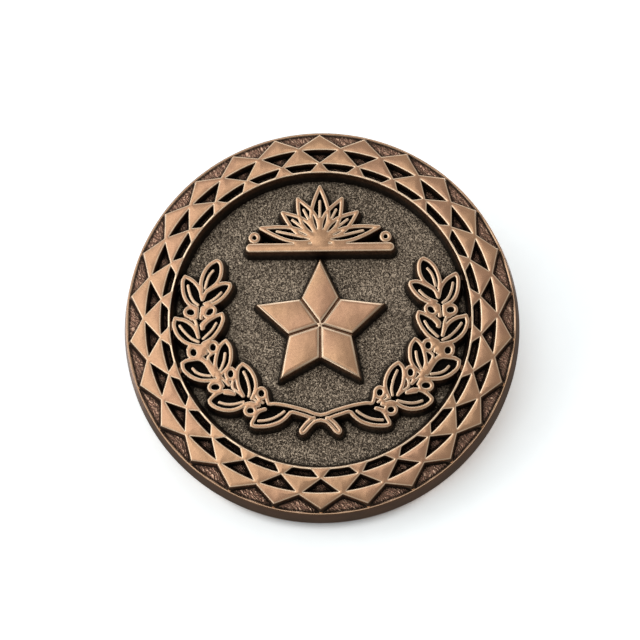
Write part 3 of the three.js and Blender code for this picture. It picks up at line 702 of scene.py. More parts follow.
def side_and_back():
    """All vertices in drawing axes; the new faces, corner normals and material slots."""
    rim = np.where(on_rim)[0]
    rim = rim[np.argsort(np.arctan2(points[rim, 0], points[rim, 1]) % (2 * math.pi - 1e-7))]
    turn = np.arctan2(points[rim, 0], points[rim, 1])
    outward = np.stack([np.sin(turn), np.cos(turn)], 1)
    here = np.arange(RIM_COUNT)
    after = (here + 1) % RIM_COUNT
    parts, rows = [surface], [rim]
    for radius, h in PROFILE[1:]:
        parts.append(np.concatenate([outward * radius, np.full((RIM_COUNT, 1), h)], 1))
        rows.append(len(surface) + (len(rows) - 1) * RIM_COUNT + here)
    parts.append(np.array([[0, 0, 0.0]]))
    vertices = np.concatenate(parts)

    band_normals = []           # (outwards, h)
    for (r0, h0), (r1, h1) in zip(PROFILE[:-1], PROFILE[1:]):
        length = math.hypot(r1 - r0, h1 - h0)
        band_normals.append((-(h1 - h0) / length, (r1 - r0) / length))

    def joint(own, other):
        """The normal shared with a neighbouring band, unless the corner is sharp."""
        if not 0 <= other < len(band_normals):
            return band_normals[own]
        (out0, up0), (out1, up1) = band_normals[own], band_normals[other]
        if out0 * out1 + up0 * up1 < .75:
            return band_normals[own]
        length = math.hypot(out0 + out1, up0 + up1)
        return ((out0 + out1) / length, (up0 + up1) / length)

    def turned(normal, index):
        return np.concatenate([outward[index] * normal[0],
                               np.full((len(index), 1), normal[1])], 1)

    faces, normals, kinds = [], [], []
    for k in range(len(PROFILE) - 1):
        start = (rows[k], joint(k, k - 1))
        end = (rows[k + 1], joint(k, k + 1))
        for corners in (((start, here), (start, after), (end, after)),
                        ((start, here), (end, after), (end, here))):
            faces.append(np.stack([ring[0][index] for ring, index in corners], 1))
            normals.append(np.stack([turned(ring[1], index) for ring, index in corners], 1))
        kinds += [SIDE if k < SIDE_BANDS else BACK] * (2 * RIM_COUNT)
    last = rows[-1]
    faces.append(np.stack([last, last[after], np.full(RIM_COUNT, len(vertices) - 1)], 1))
    normals.append(np.tile(np.array([0, 0, -1.0]), (RIM_COUNT, 3, 1)))
    kinds += [BACK] * RIM_COUNT
    faces, normals = np.concatenate(faces), np.concatenate(normals)

    geometric = np.cross(vertices[faces[:, 1]] - vertices[faces[:, 0]],
                         vertices[faces[:, 2]] - vertices[faces[:, 0]])
    inward = (geometric * normals.mean(1)).sum(1) < 0
    faces[inward] = faces[inward][:, ::-1]
    normals[inward] = normals[inward][:, ::-1]
    return vertices, faces, normals, kinds


def to_world(values):
    """Drawing axes (x, y, h) to world axes."""
    return np.stack([values[..., 0], -values[..., 2], values[..., 1]], -1)


def mesh_object(name, vertices, faces, smooth_faces=True):
    mesh = bpy.data.meshes.new(name)
    mesh.from_pydata(np.asarray(vertices).tolist(), [], faces)
    mesh.update()
    if smooth_faces:
        mesh.polygons.foreach_set("use_smooth", [True] * len(mesh.polygons))
    made = bpy.data.objects.new(name, mesh)
    bpy.context.scene.collection.objects.link(made)
    return made


def build_badge():
    vertices, faces, normals, kinds = side_and_back()
    badge = mesh_object("badge_disc", to_world(vertices) / 1000.0,
                        np.concatenate([triangles, faces]).tolist())
    mesh = badge.data
    slot_of = np.concatenate([slots, np.array(kinds)])
    mesh.polygons.foreach_set("material_index", slot_of.astype(np.int32))
    corners = normalised(to_world(np.concatenate([corner_normals, normals])), 1e-9)
    mesh.normals_split_custom_set(corners.reshape(-1, 3).tolist())
    # the material reads the relief; the bead gets the value of a worn edge, which also paints a highlight
    # on it
    stored = np.concatenate([np.where(radius_at > 1.0256 * UNIT, .62, relief_at),
                             np.full(len(vertices) - len(points), -1.0)])
    attribute = mesh.attributes.new("relief", "FLOAT", "POINT")
    attribute.data.foreach_set("value", stored.astype(np.float32))
    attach(badge, "badge")
    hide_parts("badge_body")
    return badge


badge = build_badge()


# =============================================================================
# Materials: procedural, with object coordinates in mm
# =============================================================================
class Graph:
    """A node tree. Its methods add nodes and return output sockets."""

    def __init__(self, owner, output):
        owner.use_nodes = True
        self.tree = owner.node_tree
        self.tree.nodes.clear()
        self.output = self.tree.nodes.new(output)
        self.coords = self.tree.nodes.new("ShaderNodeTexCoord").outputs

    def node(self, kind, inputs=None, out=0, **props):
        """inputs maps socket names or indices to sockets or values; None leaves the default."""
        made = self.tree.nodes.new(kind)
        for name, value in props.items():
            setattr(made, name, value)
        for key, value in (inputs or {}).items():
            socket = made.inputs[key]
            if isinstance(value, bpy.types.NodeSocket):
                self.tree.links.new(value, socket)
            elif value is not None:
                if socket.type == "RGBA" and len(value) == 3:
                    value = (*value, 1)
                socket.default_value = value
        return made.outputs[out]

    def surface(self, shader):
        self.tree.links.new(shader, self.output.inputs["Surface"])

    def vector(self, operation, first, second):
        return self.node("ShaderNodeVectorMath", {0: first, 1: second}, operation=operation)

    def math(self, operation, *values, clamp=False):
        return self.node("ShaderNodeMath", dict(enumerate(values)), operation=operation,
                         use_clamp=clamp)

    def add_scaled(self, value, pattern, amount):
        return self.math("ADD", value, self.math("MULTIPLY", pattern, amount))

    def wobble(self, value, pattern, amount):
        """Shifts a value either way by a pattern centred on one half."""
        return self.add_scaled(value, self.math("SUBTRACT", pattern, .5), amount)

    def weigh(self, first, second, weights):
        return self.add_scaled(self.math("MULTIPLY", first, weights[0]), second, weights[1])

    def ramp(self, value, over, to=(0.0, 1.0), kind="SMOOTHSTEP"):
        """Maps the range `over` to the range `to`."""
        return self.node("ShaderNodeMapRange", {
            "Value": value, "From Min": over[0], "From Max": over[1],
            "To Min": to[0], "To Max": to[1]}, "Result", interpolation_type=kind)

    def linear(self, value, over, to=(0.0, 1.0)):
        return self.ramp(value, over, to, "LINEAR")

    def blend(self, mask, base, paint):
        """Lays the paint colour over the base colour where the mask is 1."""
        return self.node("ShaderNodeMix", {0: mask, 6: base, 7: paint}, 2, data_type="RGBA")


class Material(Graph):
    def __init__(self, name):
        self.material = bpy.data.materials.new(name)
        super().__init__(self.material, "ShaderNodeOutputMaterial")
        self.place = self.vector("MULTIPLY", self.coords["Object"], (1000, 1000, 1000))

    def noise(self, scale, detail=3, roughness=.5, stretch=(1, 1, 1), shift=(0, 0, 0),
              distortion=0):
        place = self.vector("ADD", self.vector("MULTIPLY", self.place, stretch), shift)
        return self.node("ShaderNodeTexNoise", {
            "Vector": place, "Scale": scale, "Detail": detail, "Roughness": roughness,
            "Distortion": distortion}, "Fac", normalize=True)

    def ridges(self, scale, shift):
        """Fine wiggly ridges: 1 on a ridge line, falling away on both sides."""
        noise = self.noise(scale, detail=1, shift=shift, distortion=.4)
        sharpened = self.math("MULTIPLY_ADD", noise, 5.0, -2.5)
        return self.math("SUBTRACT", 1.0, self.math("ABSOLUTE", sharpened), clamp=True)

    def cells(self, scale, smoothness, randomness):
        place = self.vector("ADD", self.place, (0, 0, 0))
        return self.node("ShaderNodeTexVoronoi", {
            "Vector": place, "Scale": scale, "Randomness": randomness,
            "Smoothness": smoothness}, "Distance", feature="SMOOTH_F1")

    def scratches(self, scale, shift, swirl, swirl_scale):
        return self.node("ShaderNodeTexWave", {
            "Vector": self.vector("ADD", self.place, shift), "Scale": scale,
            "Distortion": swirl, "Detail": 2.0, "Detail Scale": swirl_scale,
            "Detail Roughness": .5}, "Fac",
            wave_type="BANDS", bands_direction="DIAGONAL", wave_profile="SIN")

    def openness(self, reach_mm, samples=6, only_local=True):
        """1 in the open, falling towards 0 in corners."""
        return self.node("ShaderNodeAmbientOcclusion", {"Distance": reach_mm / 1000.0}, "AO",
                         samples=samples, only_local=only_local)

    def radius(self):
        """Distance from the badge's axis, in drawing units."""
        flat = self.vector("MULTIPLY", self.place, (1 / UNIT, 0, 1 / UNIT))
        return self.node("ShaderNodeVectorMath", {"Vector": flat}, "Value", operation="LENGTH")

    def behind(self):
        """World y in mm: 0 on the badge's back, negative towards its face."""
        return self.node("ShaderNodeSeparateXYZ", {"Vector": self.place}, "Y")

    def bump(self, height, depth_mm, strength, normal=None):
        return self.node("ShaderNodeBump", {
            "Strength": strength, "Distance": depth_mm / 1000.0, "Height": height,
            "Normal": normal}, "Normal")

    def finish(self, color, metallic, roughness, normal, **more):
        self.surface(self.node("ShaderNodeBsdfPrincipled", {
            "Base Color": color, "Metallic": metallic, "Roughness": roughness,
            "Normal": normal, **more}))
        return self.material


def struck_copper():
    g = Material("struck_copper")
    relief = g.node("ShaderNodeAttribute", out="Fac", attribute_name="relief")
    cloud = g.noise(scale=.16, roughness=.55)
    grain = g.noise(scale=9.0, roughness=.6)
    wear = g.noise(scale=1.4, detail=4, roughness=.6, shift=(7, 3, 1))
    tone = g.blend(g.ramp(cloud, over=(.35, .65)),
                   base=(.560, .333, .200), paint=(.520, .297, .190))
    tone = g.blend(g.ramp(grain, over=(.35, .75), to=(0, .12)), tone, paint=(.36, .215, .130))
    # a brighter line where a raised face turns over its edge: partly real wear, partly a painted highlight
    # for the light the rounded edge catches
    edge = g.math("MULTIPLY", g.ramp(relief, over=(-.02, .08)), g.ramp(relief, over=(.80, .30)))
    edge = g.math("MULTIPLY", edge, g.ramp(wear, over=(.30, .60), to=(.72, 1.0)))
    tone = g.blend(edge, tone, paint=(1.0, .780, .570))
    # the lip darkens outside its bright crest
    tone = g.blend(g.ramp(g.radius(), over=(1.0315, 1.0375), to=(0, .72)), tone,
                   paint=(.200, .112, .068))
    # walls: brown just under the edge, black at the foot, with an uneven border
    depth = g.wobble(relief, wear, amount=.30)
    dark = g.ramp(depth, over=(.02, -.14))
    black = g.ramp(depth, over=(-.12, -.62))
    brown = g.blend(g.ramp(wear, over=(.4, .65)),
                    base=(.215, .115, .068), paint=(.110, .062, .040))
    tone = g.blend(black, g.blend(dark, tone, brown), paint=(.014, .010, .008))
    polish, wall_roughness = g.linear(grain, over=(.3, .7), to=(.215, .30)), .46
    rise = g.math("MULTIPLY", g.math("SUBTRACT", wall_roughness, polish), dark)
    normal = g.bump(grain, depth_mm=.003, strength=.20)
    normal = g.bump(g.noise(scale=1.7, detail=2, shift=(3, 9, 5)), depth_mm=.014,
                    strength=.20, normal=normal)
    normal = g.bump(g.noise(scale=.42, detail=2, shift=(9, 1, 2)), depth_mm=.17,
                    strength=.32, normal=normal)
    return g.finish(tone, metallic=g.linear(black, over=(0, 1), to=(1, .55)),
                    roughness=g.math("ADD", rise, polish), normal=normal)


def blasted_field():
    g = Material("blasted_field")
    coarse = g.ridges(scale=4.0, shift=(0, 0, 0))
    fine = g.ridges(scale=5.8, shift=(5, 1, 3))
    grain = g.noise(scale=6.0, detail=2, roughness=.6, shift=(3, 3, 3))
    texture = g.weigh(g.math("MAXIMUM", coarse, fine), grain, weights=(.55, .45))
    blotch = g.noise(scale=.22, shift=(2, 8, 4))
    tone = g.blend(g.ramp(blotch, over=(.3, .7)),
                   base=(.152, .120, .092), paint=(.130, .103, .080))
    # painted highlights on the bright ridges (the blasted field's sparkle), dark hollows, black corners
    tone = g.blend(g.ramp(texture, over=(.60, .78), to=(0, .92)), tone, paint=(.74, .61, .47))
    tone = g.blend(g.ramp(texture, over=(.50, .26), to=(0, .65)), tone,
                   paint=(.055, .044, .035))
    tone = g.blend(g.ramp(g.openness(reach_mm=.55), over=(.84, .57), to=(0, .95)), tone,
                   paint=(.012, .010, .008))
    return g.finish(tone, metallic=.90, roughness=g.linear(texture, over=(.3, .8), to=(.52, .32)),
                    normal=g.bump(texture, depth_mm=.10, strength=1.0))


def recess_floor():
    g = Material("recess_floor")
    swirl = g.scratches(scale=1.05, shift=(3, 0, 1), swirl=13, swirl_scale=.55)
    second = g.scratches(scale=1.55, shift=(8, 5, 2), swirl=17, swirl_scale=.80)
    fine = g.noise(scale=6.0, detail=2, roughness=.6)
    blotch = g.noise(scale=.55, roughness=.55, shift=(11, 0, 3))
    scratch = g.weigh(g.math("MULTIPLY", swirl, second), fine, weights=(.85, .35))
    tone = g.blend(g.ramp(blotch, over=(.35, .65)),
                   base=(.700, .410, .298), paint=(.570, .330, .240))
    # bright scratch lines are painted highlights, the glint on the scratches; dark lines between them
    tone = g.blend(g.ramp(scratch, over=(.46, .85), to=(0, .90)), tone, paint=(.95, .66, .48))
    tone = g.blend(g.ramp(scratch, over=(.38, .14), to=(0, .88)), tone,
                   paint=(.060, .034, .024))
    # corners are black, more so in the border's pockets, and so is the foot of the lip
    black = (.014, .010, .008)
    radius = g.radius()
    shut = g.math("SUBTRACT", g.openness(reach_mm=.50),
                  g.ramp(radius, over=(.965, .930), to=(0, .05)))
    tone = g.blend(g.ramp(shut, over=(.84, .60), to=(0, .97)), tone, paint=black)
    tone = g.blend(g.ramp(radius, over=(1.008, 1.021), to=(0, .85)), tone, paint=black)
    return g.finish(tone, metallic=.95, roughness=g.linear(scratch, over=(.3, .8), to=(.46, .28)),
                    normal=g.bump(scratch, depth_mm=.10, strength=1.0))


def black_pocket():
    g = Material("black_pocket")
    grain = g.noise(scale=6.0, roughness=.6)
    tone = g.blend(g.ramp(grain, over=(.45, .75)),
                   base=(.0045, .0035, .0030), paint=(.016, .011, .008))
    return g.finish(tone, metallic=.1, roughness=g.linear(grain, over=(.3, .7), to=(.85, .65)),
                    normal=g.bump(grain, depth_mm=.02, strength=.6),
                    **{"Specular IOR Level": .10})


def edge_patina():
    g = Material("edge_patina")
    cloud = g.noise(scale=.5, roughness=.55)
    fine = g.noise(scale=7.0, roughness=.6, stretch=(1, 3.5, 1))
    behind = g.behind()
    # worn at the face's end of the side wall
    worn = g.ramp(g.wobble(behind, cloud, amount=.25), over=(-RECESS_H + .20, -RECESS_H + .02))
    tone = g.blend(g.ramp(cloud, over=(.3, .7)),
                   base=(.300, .160, .096), paint=(.225, .128, .080))
    tone = g.blend(g.ramp(fine, over=(.5, .75), to=(0, .35)), tone, paint=(.38, .225, .145))
    tone = g.blend(g.ramp(g.add_scaled(behind, cloud, .5), over=(-1.5, .1), to=(0, .50)), tone,
                   paint=(.140, .088, .060))
    tone = g.blend(g.math("MULTIPLY", worn, .6), tone, paint=(.52, .310, .200))
    return g.finish(tone, metallic=1.0, roughness=g.linear(fine, over=(.3, .7), to=(.28, .40)),
                    normal=g.bump(fine, depth_mm=.008, strength=.5))


def back_patina():
    g = Material("back_patina")
    cells = g.cells(scale=1.9, smoothness=.25, randomness=.9)
    grain = g.noise(scale=6.0, detail=4, roughness=.6)
    blotch = g.noise(scale=.18, detail=4, roughness=.55, shift=(5, 5, 2))
    plain = g.ramp(g.behind(), over=(-.12, -.02))       # 1 on the flat of the back
    tone = g.blend(g.ramp(blotch, over=(.35, .65)),
                   base=(.250, .160, .108), paint=(.165, .112, .082))
    tone = g.blend(g.ramp(cells, over=(.42, .12), to=(0, .45)), tone, paint=(.420, .275, .185))
    tone = g.blend(g.ramp(grain, over=(.5, .75), to=(0, .4)), tone, paint=(.36, .24, .16))
    tone = g.blend(g.math("MULTIPLY", plain, .65), tone, paint=(.46, .285, .18))
    pits = g.math("MULTIPLY", cells, g.math("SUBTRACT", 1.0, plain))
    height = g.weigh(pits, grain, weights=(1.0, .35))
    return g.finish(tone, metallic=.95, roughness=g.linear(grain, over=(.3, .7), to=(.34, .46)),
                    normal=g.bump(height, depth_mm=.16, strength=.9))


def nickel_wire():
    g = Material("nickel_wire")
    drawn = g.noise(scale=11.0, roughness=.6, stretch=(1, .06, 1))
    blotch = g.noise(scale=.9, roughness=.55, shift=(1, 6, 2))
    foot = g.ramp(g.add_scaled(g.behind(), blotch, .5), over=(.75, .30))
    tone = g.blend(g.ramp(blotch, over=(.35, .7)),
                   base=(.640, .620, .590), paint=(.520, .500, .475))
    tone = g.blend(g.ramp(drawn, over=(.5, .75), to=(0, .3)), tone, paint=(.36, .345, .33))
    tone = g.blend(g.math("MULTIPLY", foot, .45), tone, paint=(.26, .22, .185))
    return g.finish(tone, metallic=1.0, roughness=g.linear(drawn, over=(.3, .7), to=(.17, .32)),
                    normal=g.bump(drawn, depth_mm=.010, strength=.5))


def dull_solder():
    g = Material("dull_solder")
    lump = g.noise(scale=1.6)
    grain = g.noise(scale=7.0, detail=4, roughness=.65)
    tone = g.blend(g.ramp(lump, over=(.35, .65)),
                   base=(.460, .455, .450), paint=(.330, .325, .325))
    tone = g.blend(g.ramp(grain, over=(.55, .75), to=(0, .6)), tone, paint=(.17, .16, .155))
    normal = g.bump(lump, depth_mm=.10, strength=.5)
    return g.finish(tone, metallic=.92, roughness=g.linear(grain, over=(.3, .7), to=(.34, .56)),
                    normal=g.bump(grain, depth_mm=.02, strength=.6, normal=normal))


def stamped_brass():
    g = Material("stamped_brass")
    cloud = g.noise(scale=.7)
    streak = g.noise(scale=6.0, detail=4, roughness=.62, stretch=(.35, 1, 3.0))
    spot = g.noise(scale=3.1, detail=4, roughness=.6, shift=(4, 1, 8))
    tone = g.blend(g.ramp(cloud, over=(.35, .65)),
                   base=(.870, .690, .390), paint=(.780, .595, .325))
    tone = g.blend(g.ramp(streak, over=(.54, .78), to=(0, .22)), tone, paint=(.50, .35, .16))
    tone = g.blend(g.ramp(spot, over=(.62, .78), to=(0, .38)), tone, paint=(.34, .22, .10))
    normal = g.bump(streak, depth_mm=.006, strength=.4)
    return g.finish(tone, metallic=1.0, roughness=g.linear(streak, over=(.3, .7), to=(.18, .33)),
                    normal=g.bump(cloud, depth_mm=.05, strength=.15, normal=normal))


def bronze_wire():
    g = Material("bronze_wire")
    drawn = g.noise(scale=14.0, roughness=.6, stretch=(1, 1, .12))
    blotch = g.noise(scale=1.3)
    tone = g.blend(g.ramp(blotch, over=(.35, .7)),
                   base=(.60, .355, .185), paint=(.43, .250, .130))
    tone = g.blend(g.ramp(drawn, over=(.52, .75), to=(0, .35)), tone, paint=(.24, .14, .075))
    return g.finish(tone, metallic=1.0, roughness=g.linear(drawn, over=(.3, .7), to=(.20, .36)),
                    normal=g.bump(drawn, depth_mm=.008, strength=.5))


# in the order of the slots COPPER to BACK
for make in (struck_copper, blasted_field, recess_floor, black_pocket, edge_patina, back_patina):
    badge.data.materials.append(make())
STEEL, TIN, BRASS, BRONZE = nickel_wire(), dull_solder(), stamped_brass(), bronze_wire()

# =============================================================================
# Posts and butterfly clutches, in mm: x and z from the post's axis, y from the badge's back
# =============================================================================
POST_X, POST_Z = 8.5, 6.0
PAD_R, PAD_TOP = 2.5, .5        # the post's round foot
PAD_EDGE = .13                  # rounding of its edge
PIN_R, PIN_L = .575, 7.6
NECK_R, NECK_Y = .40, 5.2       # the pin's waist
NECK_EASE, NECK_FLAT = .25, .35
SOLDER_R = 3.03
CUP_Y, CUP_SHEET, CUP_HOLE = .95, .4, .9
NUB_RING, NUBS = 3.9, 6         # grip nubs on the cup
COVER_HALF_X, COVER_HALF_Z = 3.2, 2.8
COVER_Y0, COVER_Y1, COVER_SHEET = CUP_Y + CUP_SHEET, 4.0, .3
COVER_ROUND, COVER_ROUND_IN = .50, .22
HOLE_LIP_R = .98                # inner edge of the cover's hole
SLOT_HALF, SLOT_Y0, SLOT_Y1, SLOT_ROUND, SLOT_REACH = 2.15, .85, 3.15, .45, 6
LEVER_SHEET, LEVER_EDGE = .34, .075
SPRING_X, SPRING_Y, SPRING_R = .95, 2.95, .2
SPRING_Z0, SPRING_Z1 = -1.7, 1.1    # ends of its straight legs


def arc(x, y, radius, start, end, count):
    """Points on an arc, in degrees."""
    angles = [math.radians(start + (end - start) * i / count) for i in range(count + 1)]
    return [(x + radius * math.cos(angle), y + radius * math.sin(angle)) for angle in angles]


def bridge(rows):
    """Faces between rows of vertex numbers, each row closed on itself."""
    faces = []
    for row, following in zip(rows[:-1], rows[1:]):
        for i in range(len(row)):
            j = (i + 1) % len(row)
            face = [row[i], row[j], following[j], following[i]]
            face = [vertex for k, vertex in enumerate(face) if vertex != face[k - 1]]
            if len(face) > 2:
                faces.append(face)
    return faces


def revolve(profile, count, closed=False, bend=None):
    """Turns (radius, y) points round the y axis. closed joins the last point to the first;
    bend(radius, y, angle) moves a point."""
    vertices, rows = [], []
    for radius, y in profile:
        if radius < 1e-6:
            rows.append([len(vertices)] * count)
            vertices.append((0, y, 0))
            continue
        rows.append([len(vertices) + i for i in range(count)])
        for i in range(count):
            angle = 2 * math.pi * i / count
            out, up = bend(radius, y, angle) if bend else (radius, y)
            vertices.append((out * math.cos(angle), up, out * math.sin(angle)))
    if closed:
        rows.append(rows[0])
    return vertices, bridge(rows)


def post_mesh():
    profile = [(0, 0), (PAD_R - .03, 0), (PAD_R, .03)]
    profile += arc(PAD_R - PAD_EDGE, PAD_TOP - PAD_EDGE, PAD_EDGE, 0, 90, 6)
    # a shallow ring groove in the foot, then a rise to the fillet
    profile += [(2.0, PAD_TOP), (1.45, PAD_TOP), (1.38, PAD_TOP - .03), (1.30, PAD_TOP - .035),
                (1.22, PAD_TOP - .02), (1.15, PAD_TOP + .01), (.95, PAD_TOP + .04)]
    for degrees in range(0, 91, 15):
        t = math.radians(degrees)
        profile.append((PIN_R + .15 - .15 * math.sin(t), PAD_TOP + .06 + .19 * (1 - math.cos(t))))
    shaft_y = PAD_TOP + .25
    profile += [(PIN_R, shaft_y + (NECK_Y - PAD_TOP - .25) * k / 9) for k in range(1, 9)]
    ease = [(k / 6, .5 - .5 * math.cos(math.pi * k / 6)) for k in range(7)]
    profile += [(PIN_R - (PIN_R - NECK_R) * part, NECK_Y + NECK_EASE * t) for t, part in ease]
    profile += [(NECK_R + (PIN_R - NECK_R) * part, NECK_Y + NECK_EASE + NECK_FLAT + NECK_EASE * t)
                for t, part in ease]
    tip_y = NECK_Y + .95
    for t in [k / 10 for k in range(11)]:
        profile.append((PIN_R * (1 - t ** 1.75) * .985 + .05 * t,
                        tip_y + (PIN_L - .03 - tip_y) * t))
    profile += [(.03, PIN_L - .008), (0, PIN_L)]
    return revolve(profile, 72)


def solder_mesh(phase):
    """A fillet of solder round the post's foot, with an uneven edge."""
    def bend(radius, y, angle):
        wave = (.055 * math.sin(3 * angle + phase) + .04 * math.sin(5 * angle + 2.1 * phase)
                + .025 * math.sin(9 * angle + .7 * phase))
        share = min(max((radius - PAD_R - .02) / .5, 0), 1)
        lift = .035 * math.sin(4 * angle + 1.3 * phase) + .02 * math.sin(7 * angle + phase)
        return radius + wave * share, y + (lift if y > .2 else 0)
    profile = [(PAD_R, 0), (SOLDER_R, 0), (SOLDER_R + .02, .015)]
    profile += [(PAD_R + .04 + .50 * (1 - t) ** 2, .02 + .345 * t ** 1.35)
                for t in [i / 9 for i in range(1, 10)]]
    profile += [(PAD_R + .02, .377), (PAD_R, .375)]
    return revolve(profile, 96, closed=True, bend=bend)


# The cup's rolled rim: radius, y
CUP_RIM = [
    (5.56, 1.22), (5.68, 1.38), (5.735, 1.56), (5.75, 1.75), (5.72, 1.90), (5.64, 2.02),
    (5.51, 2.10), (5.36, 2.125), (5.22, 2.10), (5.13, 2.03), (5.085, 1.93), (5.09, 1.82),
    (5.14, 1.73), (5.22, 1.66), (5.27, 1.60), (5.25, 1.52), (5.17, 1.45), (5.05, 1.39),
    (4.90, 1.36)]


def cup_mesh():
    profile = [(radius, CUP_Y) for radius in (CUP_HOLE + .04, 1.2, 1.6, 2.2, 2.8)]
    profile += [(3.2 + .1 * k, CUP_Y) for k in range(15)]
    profile += [(4.72, CUP_Y)]
    profile += [(4.85 + .55 * t, CUP_Y + .15 * t ** 1.6) for t in (.25, .5, .75, 1)]
    profile += CUP_RIM
    profile += [(4.6 - .1 * k, COVER_Y0) for k in range(15)]
    profile += [(radius, COVER_Y0) for radius in (2.8, 2.2, 1.6, 1.2, CUP_HOLE + .05)]
    profile += [(CUP_HOLE + .01, COVER_Y0 - .03), (CUP_HOLE, COVER_Y0 - .08),
                (CUP_HOLE, CUP_Y + .06), (CUP_HOLE + .012, CUP_Y + .02)]

    def bend(radius, y, angle):
        """Small sharp nubs towards the badge, with a dimple behind each."""
        distance = 9.0
        for i in range(NUBS):
            nub = (i + .5) * math.pi / 3
            distance = min(distance, math.hypot(
                radius * math.cos(angle) - NUB_RING * math.cos(nub),
                radius * math.sin(angle) - NUB_RING * math.sin(nub)))
        if distance < .5 and radius < 4.7:
            if y < CUP_Y + .1:
                y -= .30 * max(0.0, 1 - distance / .42) ** .85
            else:
                share = max(0.0, 1 - distance / .30)
                y -= .20 * (share * share * (3 - 2 * share))
        return radius, y
    return revolve(profile, 216, closed=True, bend=bend)


def rounded_ring(half_x, half_z, radius):
    """A rounded rectangle with a few points along each straight."""
    x, z = half_x - radius, half_z - radius
    corners = [arc(corner_x, corner_z, radius, start, start + 90, 9)
               for corner_x, corner_z, start in ((x, z, 0), (-x, z, 90), (-x, -z, 180),
                                                 (x, -z, 270))]
    ring = []
    for corner, following in zip(corners, corners[1:] + corners[:1]):
        (x0, z0), (x1, z1) = corner[-1], following[0]
        ring += corner + [(x0 + (x1 - x0) * t, z0 + (z1 - z0) * t)
                          for t in (.17, .33, .5, .67, .83)]
    return ring


def cover_mesh():
    """A box of sheet, open towards the badge, with a hole in its end."""
    rings = []

    def at(inset, radius, y):
        rings.append([(x, y, z) for x, z in
                      rounded_ring(COVER_HALF_X - inset, COVER_HALF_Z - inset, radius)])

    def quarter(k):
        return math.radians(90 * k / 7)

    # outside of the walls and over the rounded edge
    at(.03, .87, COVER_Y0)
    at(0, .9, COVER_Y0 + .04)
    for y in (1.8, 2.3, 2.8, 3.2):
        at(.01 * (y - COVER_Y0), .9, y)
    for k in range(8):
        inset = COVER_ROUND * (1 - math.cos(quarter(k))) + .03
        at(inset, .9 - .5 * inset, COVER_Y1 - COVER_ROUND + COVER_ROUND * math.sin(quarter(k)))
    # across the end, with a shallow dished ring round the hole
    outer = rings[-1]
    round_hole = [(x / math.hypot(x, z), z / math.hypot(x, z)) for x, y, z in outer]
    for t in [k / 14 for k in range(1, 15)]:
        ring = []
        for (x, _, z), (unit_x, unit_z) in zip(outer, round_hole):
            x, z = x + (unit_x * 1.05 - x) * t, z + (unit_z * 1.05 - z) * t
            dish = -.055 * math.exp(-((math.hypot(x, z) - 1.75) / .22) ** 2)
            ring.append((x, COVER_Y1 + dish, z))
        rings.append(ring)
    # through the hole and back along the inside
    inner_y = COVER_Y1 - COVER_SHEET
    for radius, y in ((.985, COVER_Y1 - .02), (.955, COVER_Y1 - .07), (.95, COVER_Y1 - .15),
                      (.95, inner_y + .03), (HOLE_LIP_R, inner_y)):
        rings.append([(unit_x * radius, y, unit_z * radius) for unit_x, unit_z in round_hole])
    for t in (.35, .7):
        ring = []
        for (x, _, z), (unit_x, unit_z) in zip(outer, round_hole):
            lip_x, lip_z = unit_x * HOLE_LIP_R, unit_z * HOLE_LIP_R
            ring.append((lip_x + (x - COVER_SHEET * unit_x - lip_x) * t, inner_y,
                         lip_z + (z - COVER_SHEET * unit_z - lip_z) * t))
        rings.append(ring)
    for k in range(7, -1, -1):
        inset = COVER_ROUND_IN * (1 - math.cos(quarter(k))) + .03
        at(inset + COVER_SHEET, .65 - .4 * inset,
           inner_y - COVER_ROUND_IN + COVER_ROUND_IN * math.sin(quarter(k)))
    for y in (3.0, 2.5, 2.0, 1.5):
        at(COVER_SHEET + .01 * (y - COVER_Y0), .65, y)
    at(COVER_SHEET - .02, .67, COVER_Y0)
    count = len(rings[0])
    rows = [range(k * count, (k + 1) * count) for k in range(len(rings))]
    return [point for ring in rings for point in ring], bridge(rows + rows[:1])


def slot_cutter():
    """A bar along x that cuts a rounded slot through both side walls of the cover."""
    z, y = SLOT_HALF - SLOT_ROUND, SLOT_Y1 - SLOT_ROUND
    outline = [(-SLOT_HALF, SLOT_Y0), (SLOT_HALF, SLOT_Y0)]
    outline += arc(z, y, SLOT_ROUND, 0, 90, 8) + arc(-z, y, SLOT_ROUND, 90, 180, 8)
    count = len(outline)
    vertices = [(x, y, z) for x in (-SLOT_REACH, SLOT_REACH) for z, y in outline]
    ends = [list(range(count)), list(range(count, 2 * count))]
    return vertices, ends + bridge(ends)


# Mid-line of a wing lever: x, y
LEVER = [(1.15, 1.92), (2.2, 1.92), (3.1, 1.95), (3.6, 2.2), (3.95, 2.8), (4.2, 3.7),
         (4.32, 4.7), (4.25, 5.6), (3.95, 6.3)]
# Its outline: y, half width
EAR = [(1.0, 1.88), (3.45, 1.88), (3.65, 1.99), (3.95, 2.29), (4.3, 2.47), (4.6, 2.54),
       (4.95, 2.545), (5.3, 2.48), (5.65, 2.33), (6.0, 2.08), (6.3, 1.74)]
RIBS_Y = (4.35, 4.95, 5.55)


def even_curve(stations, count):
    """A spline resampled evenly: points and the lengths along it."""
    curve = np.array(spline(stations, 24))
    along = np.concatenate([[0], np.cumsum(np.hypot(*np.diff(curve, axis=0).T))])
    even = np.linspace(0, along[-1], count)
    return np.stack([np.interp(even, along, curve[:, k]) for k in (0, 1)], 1), even


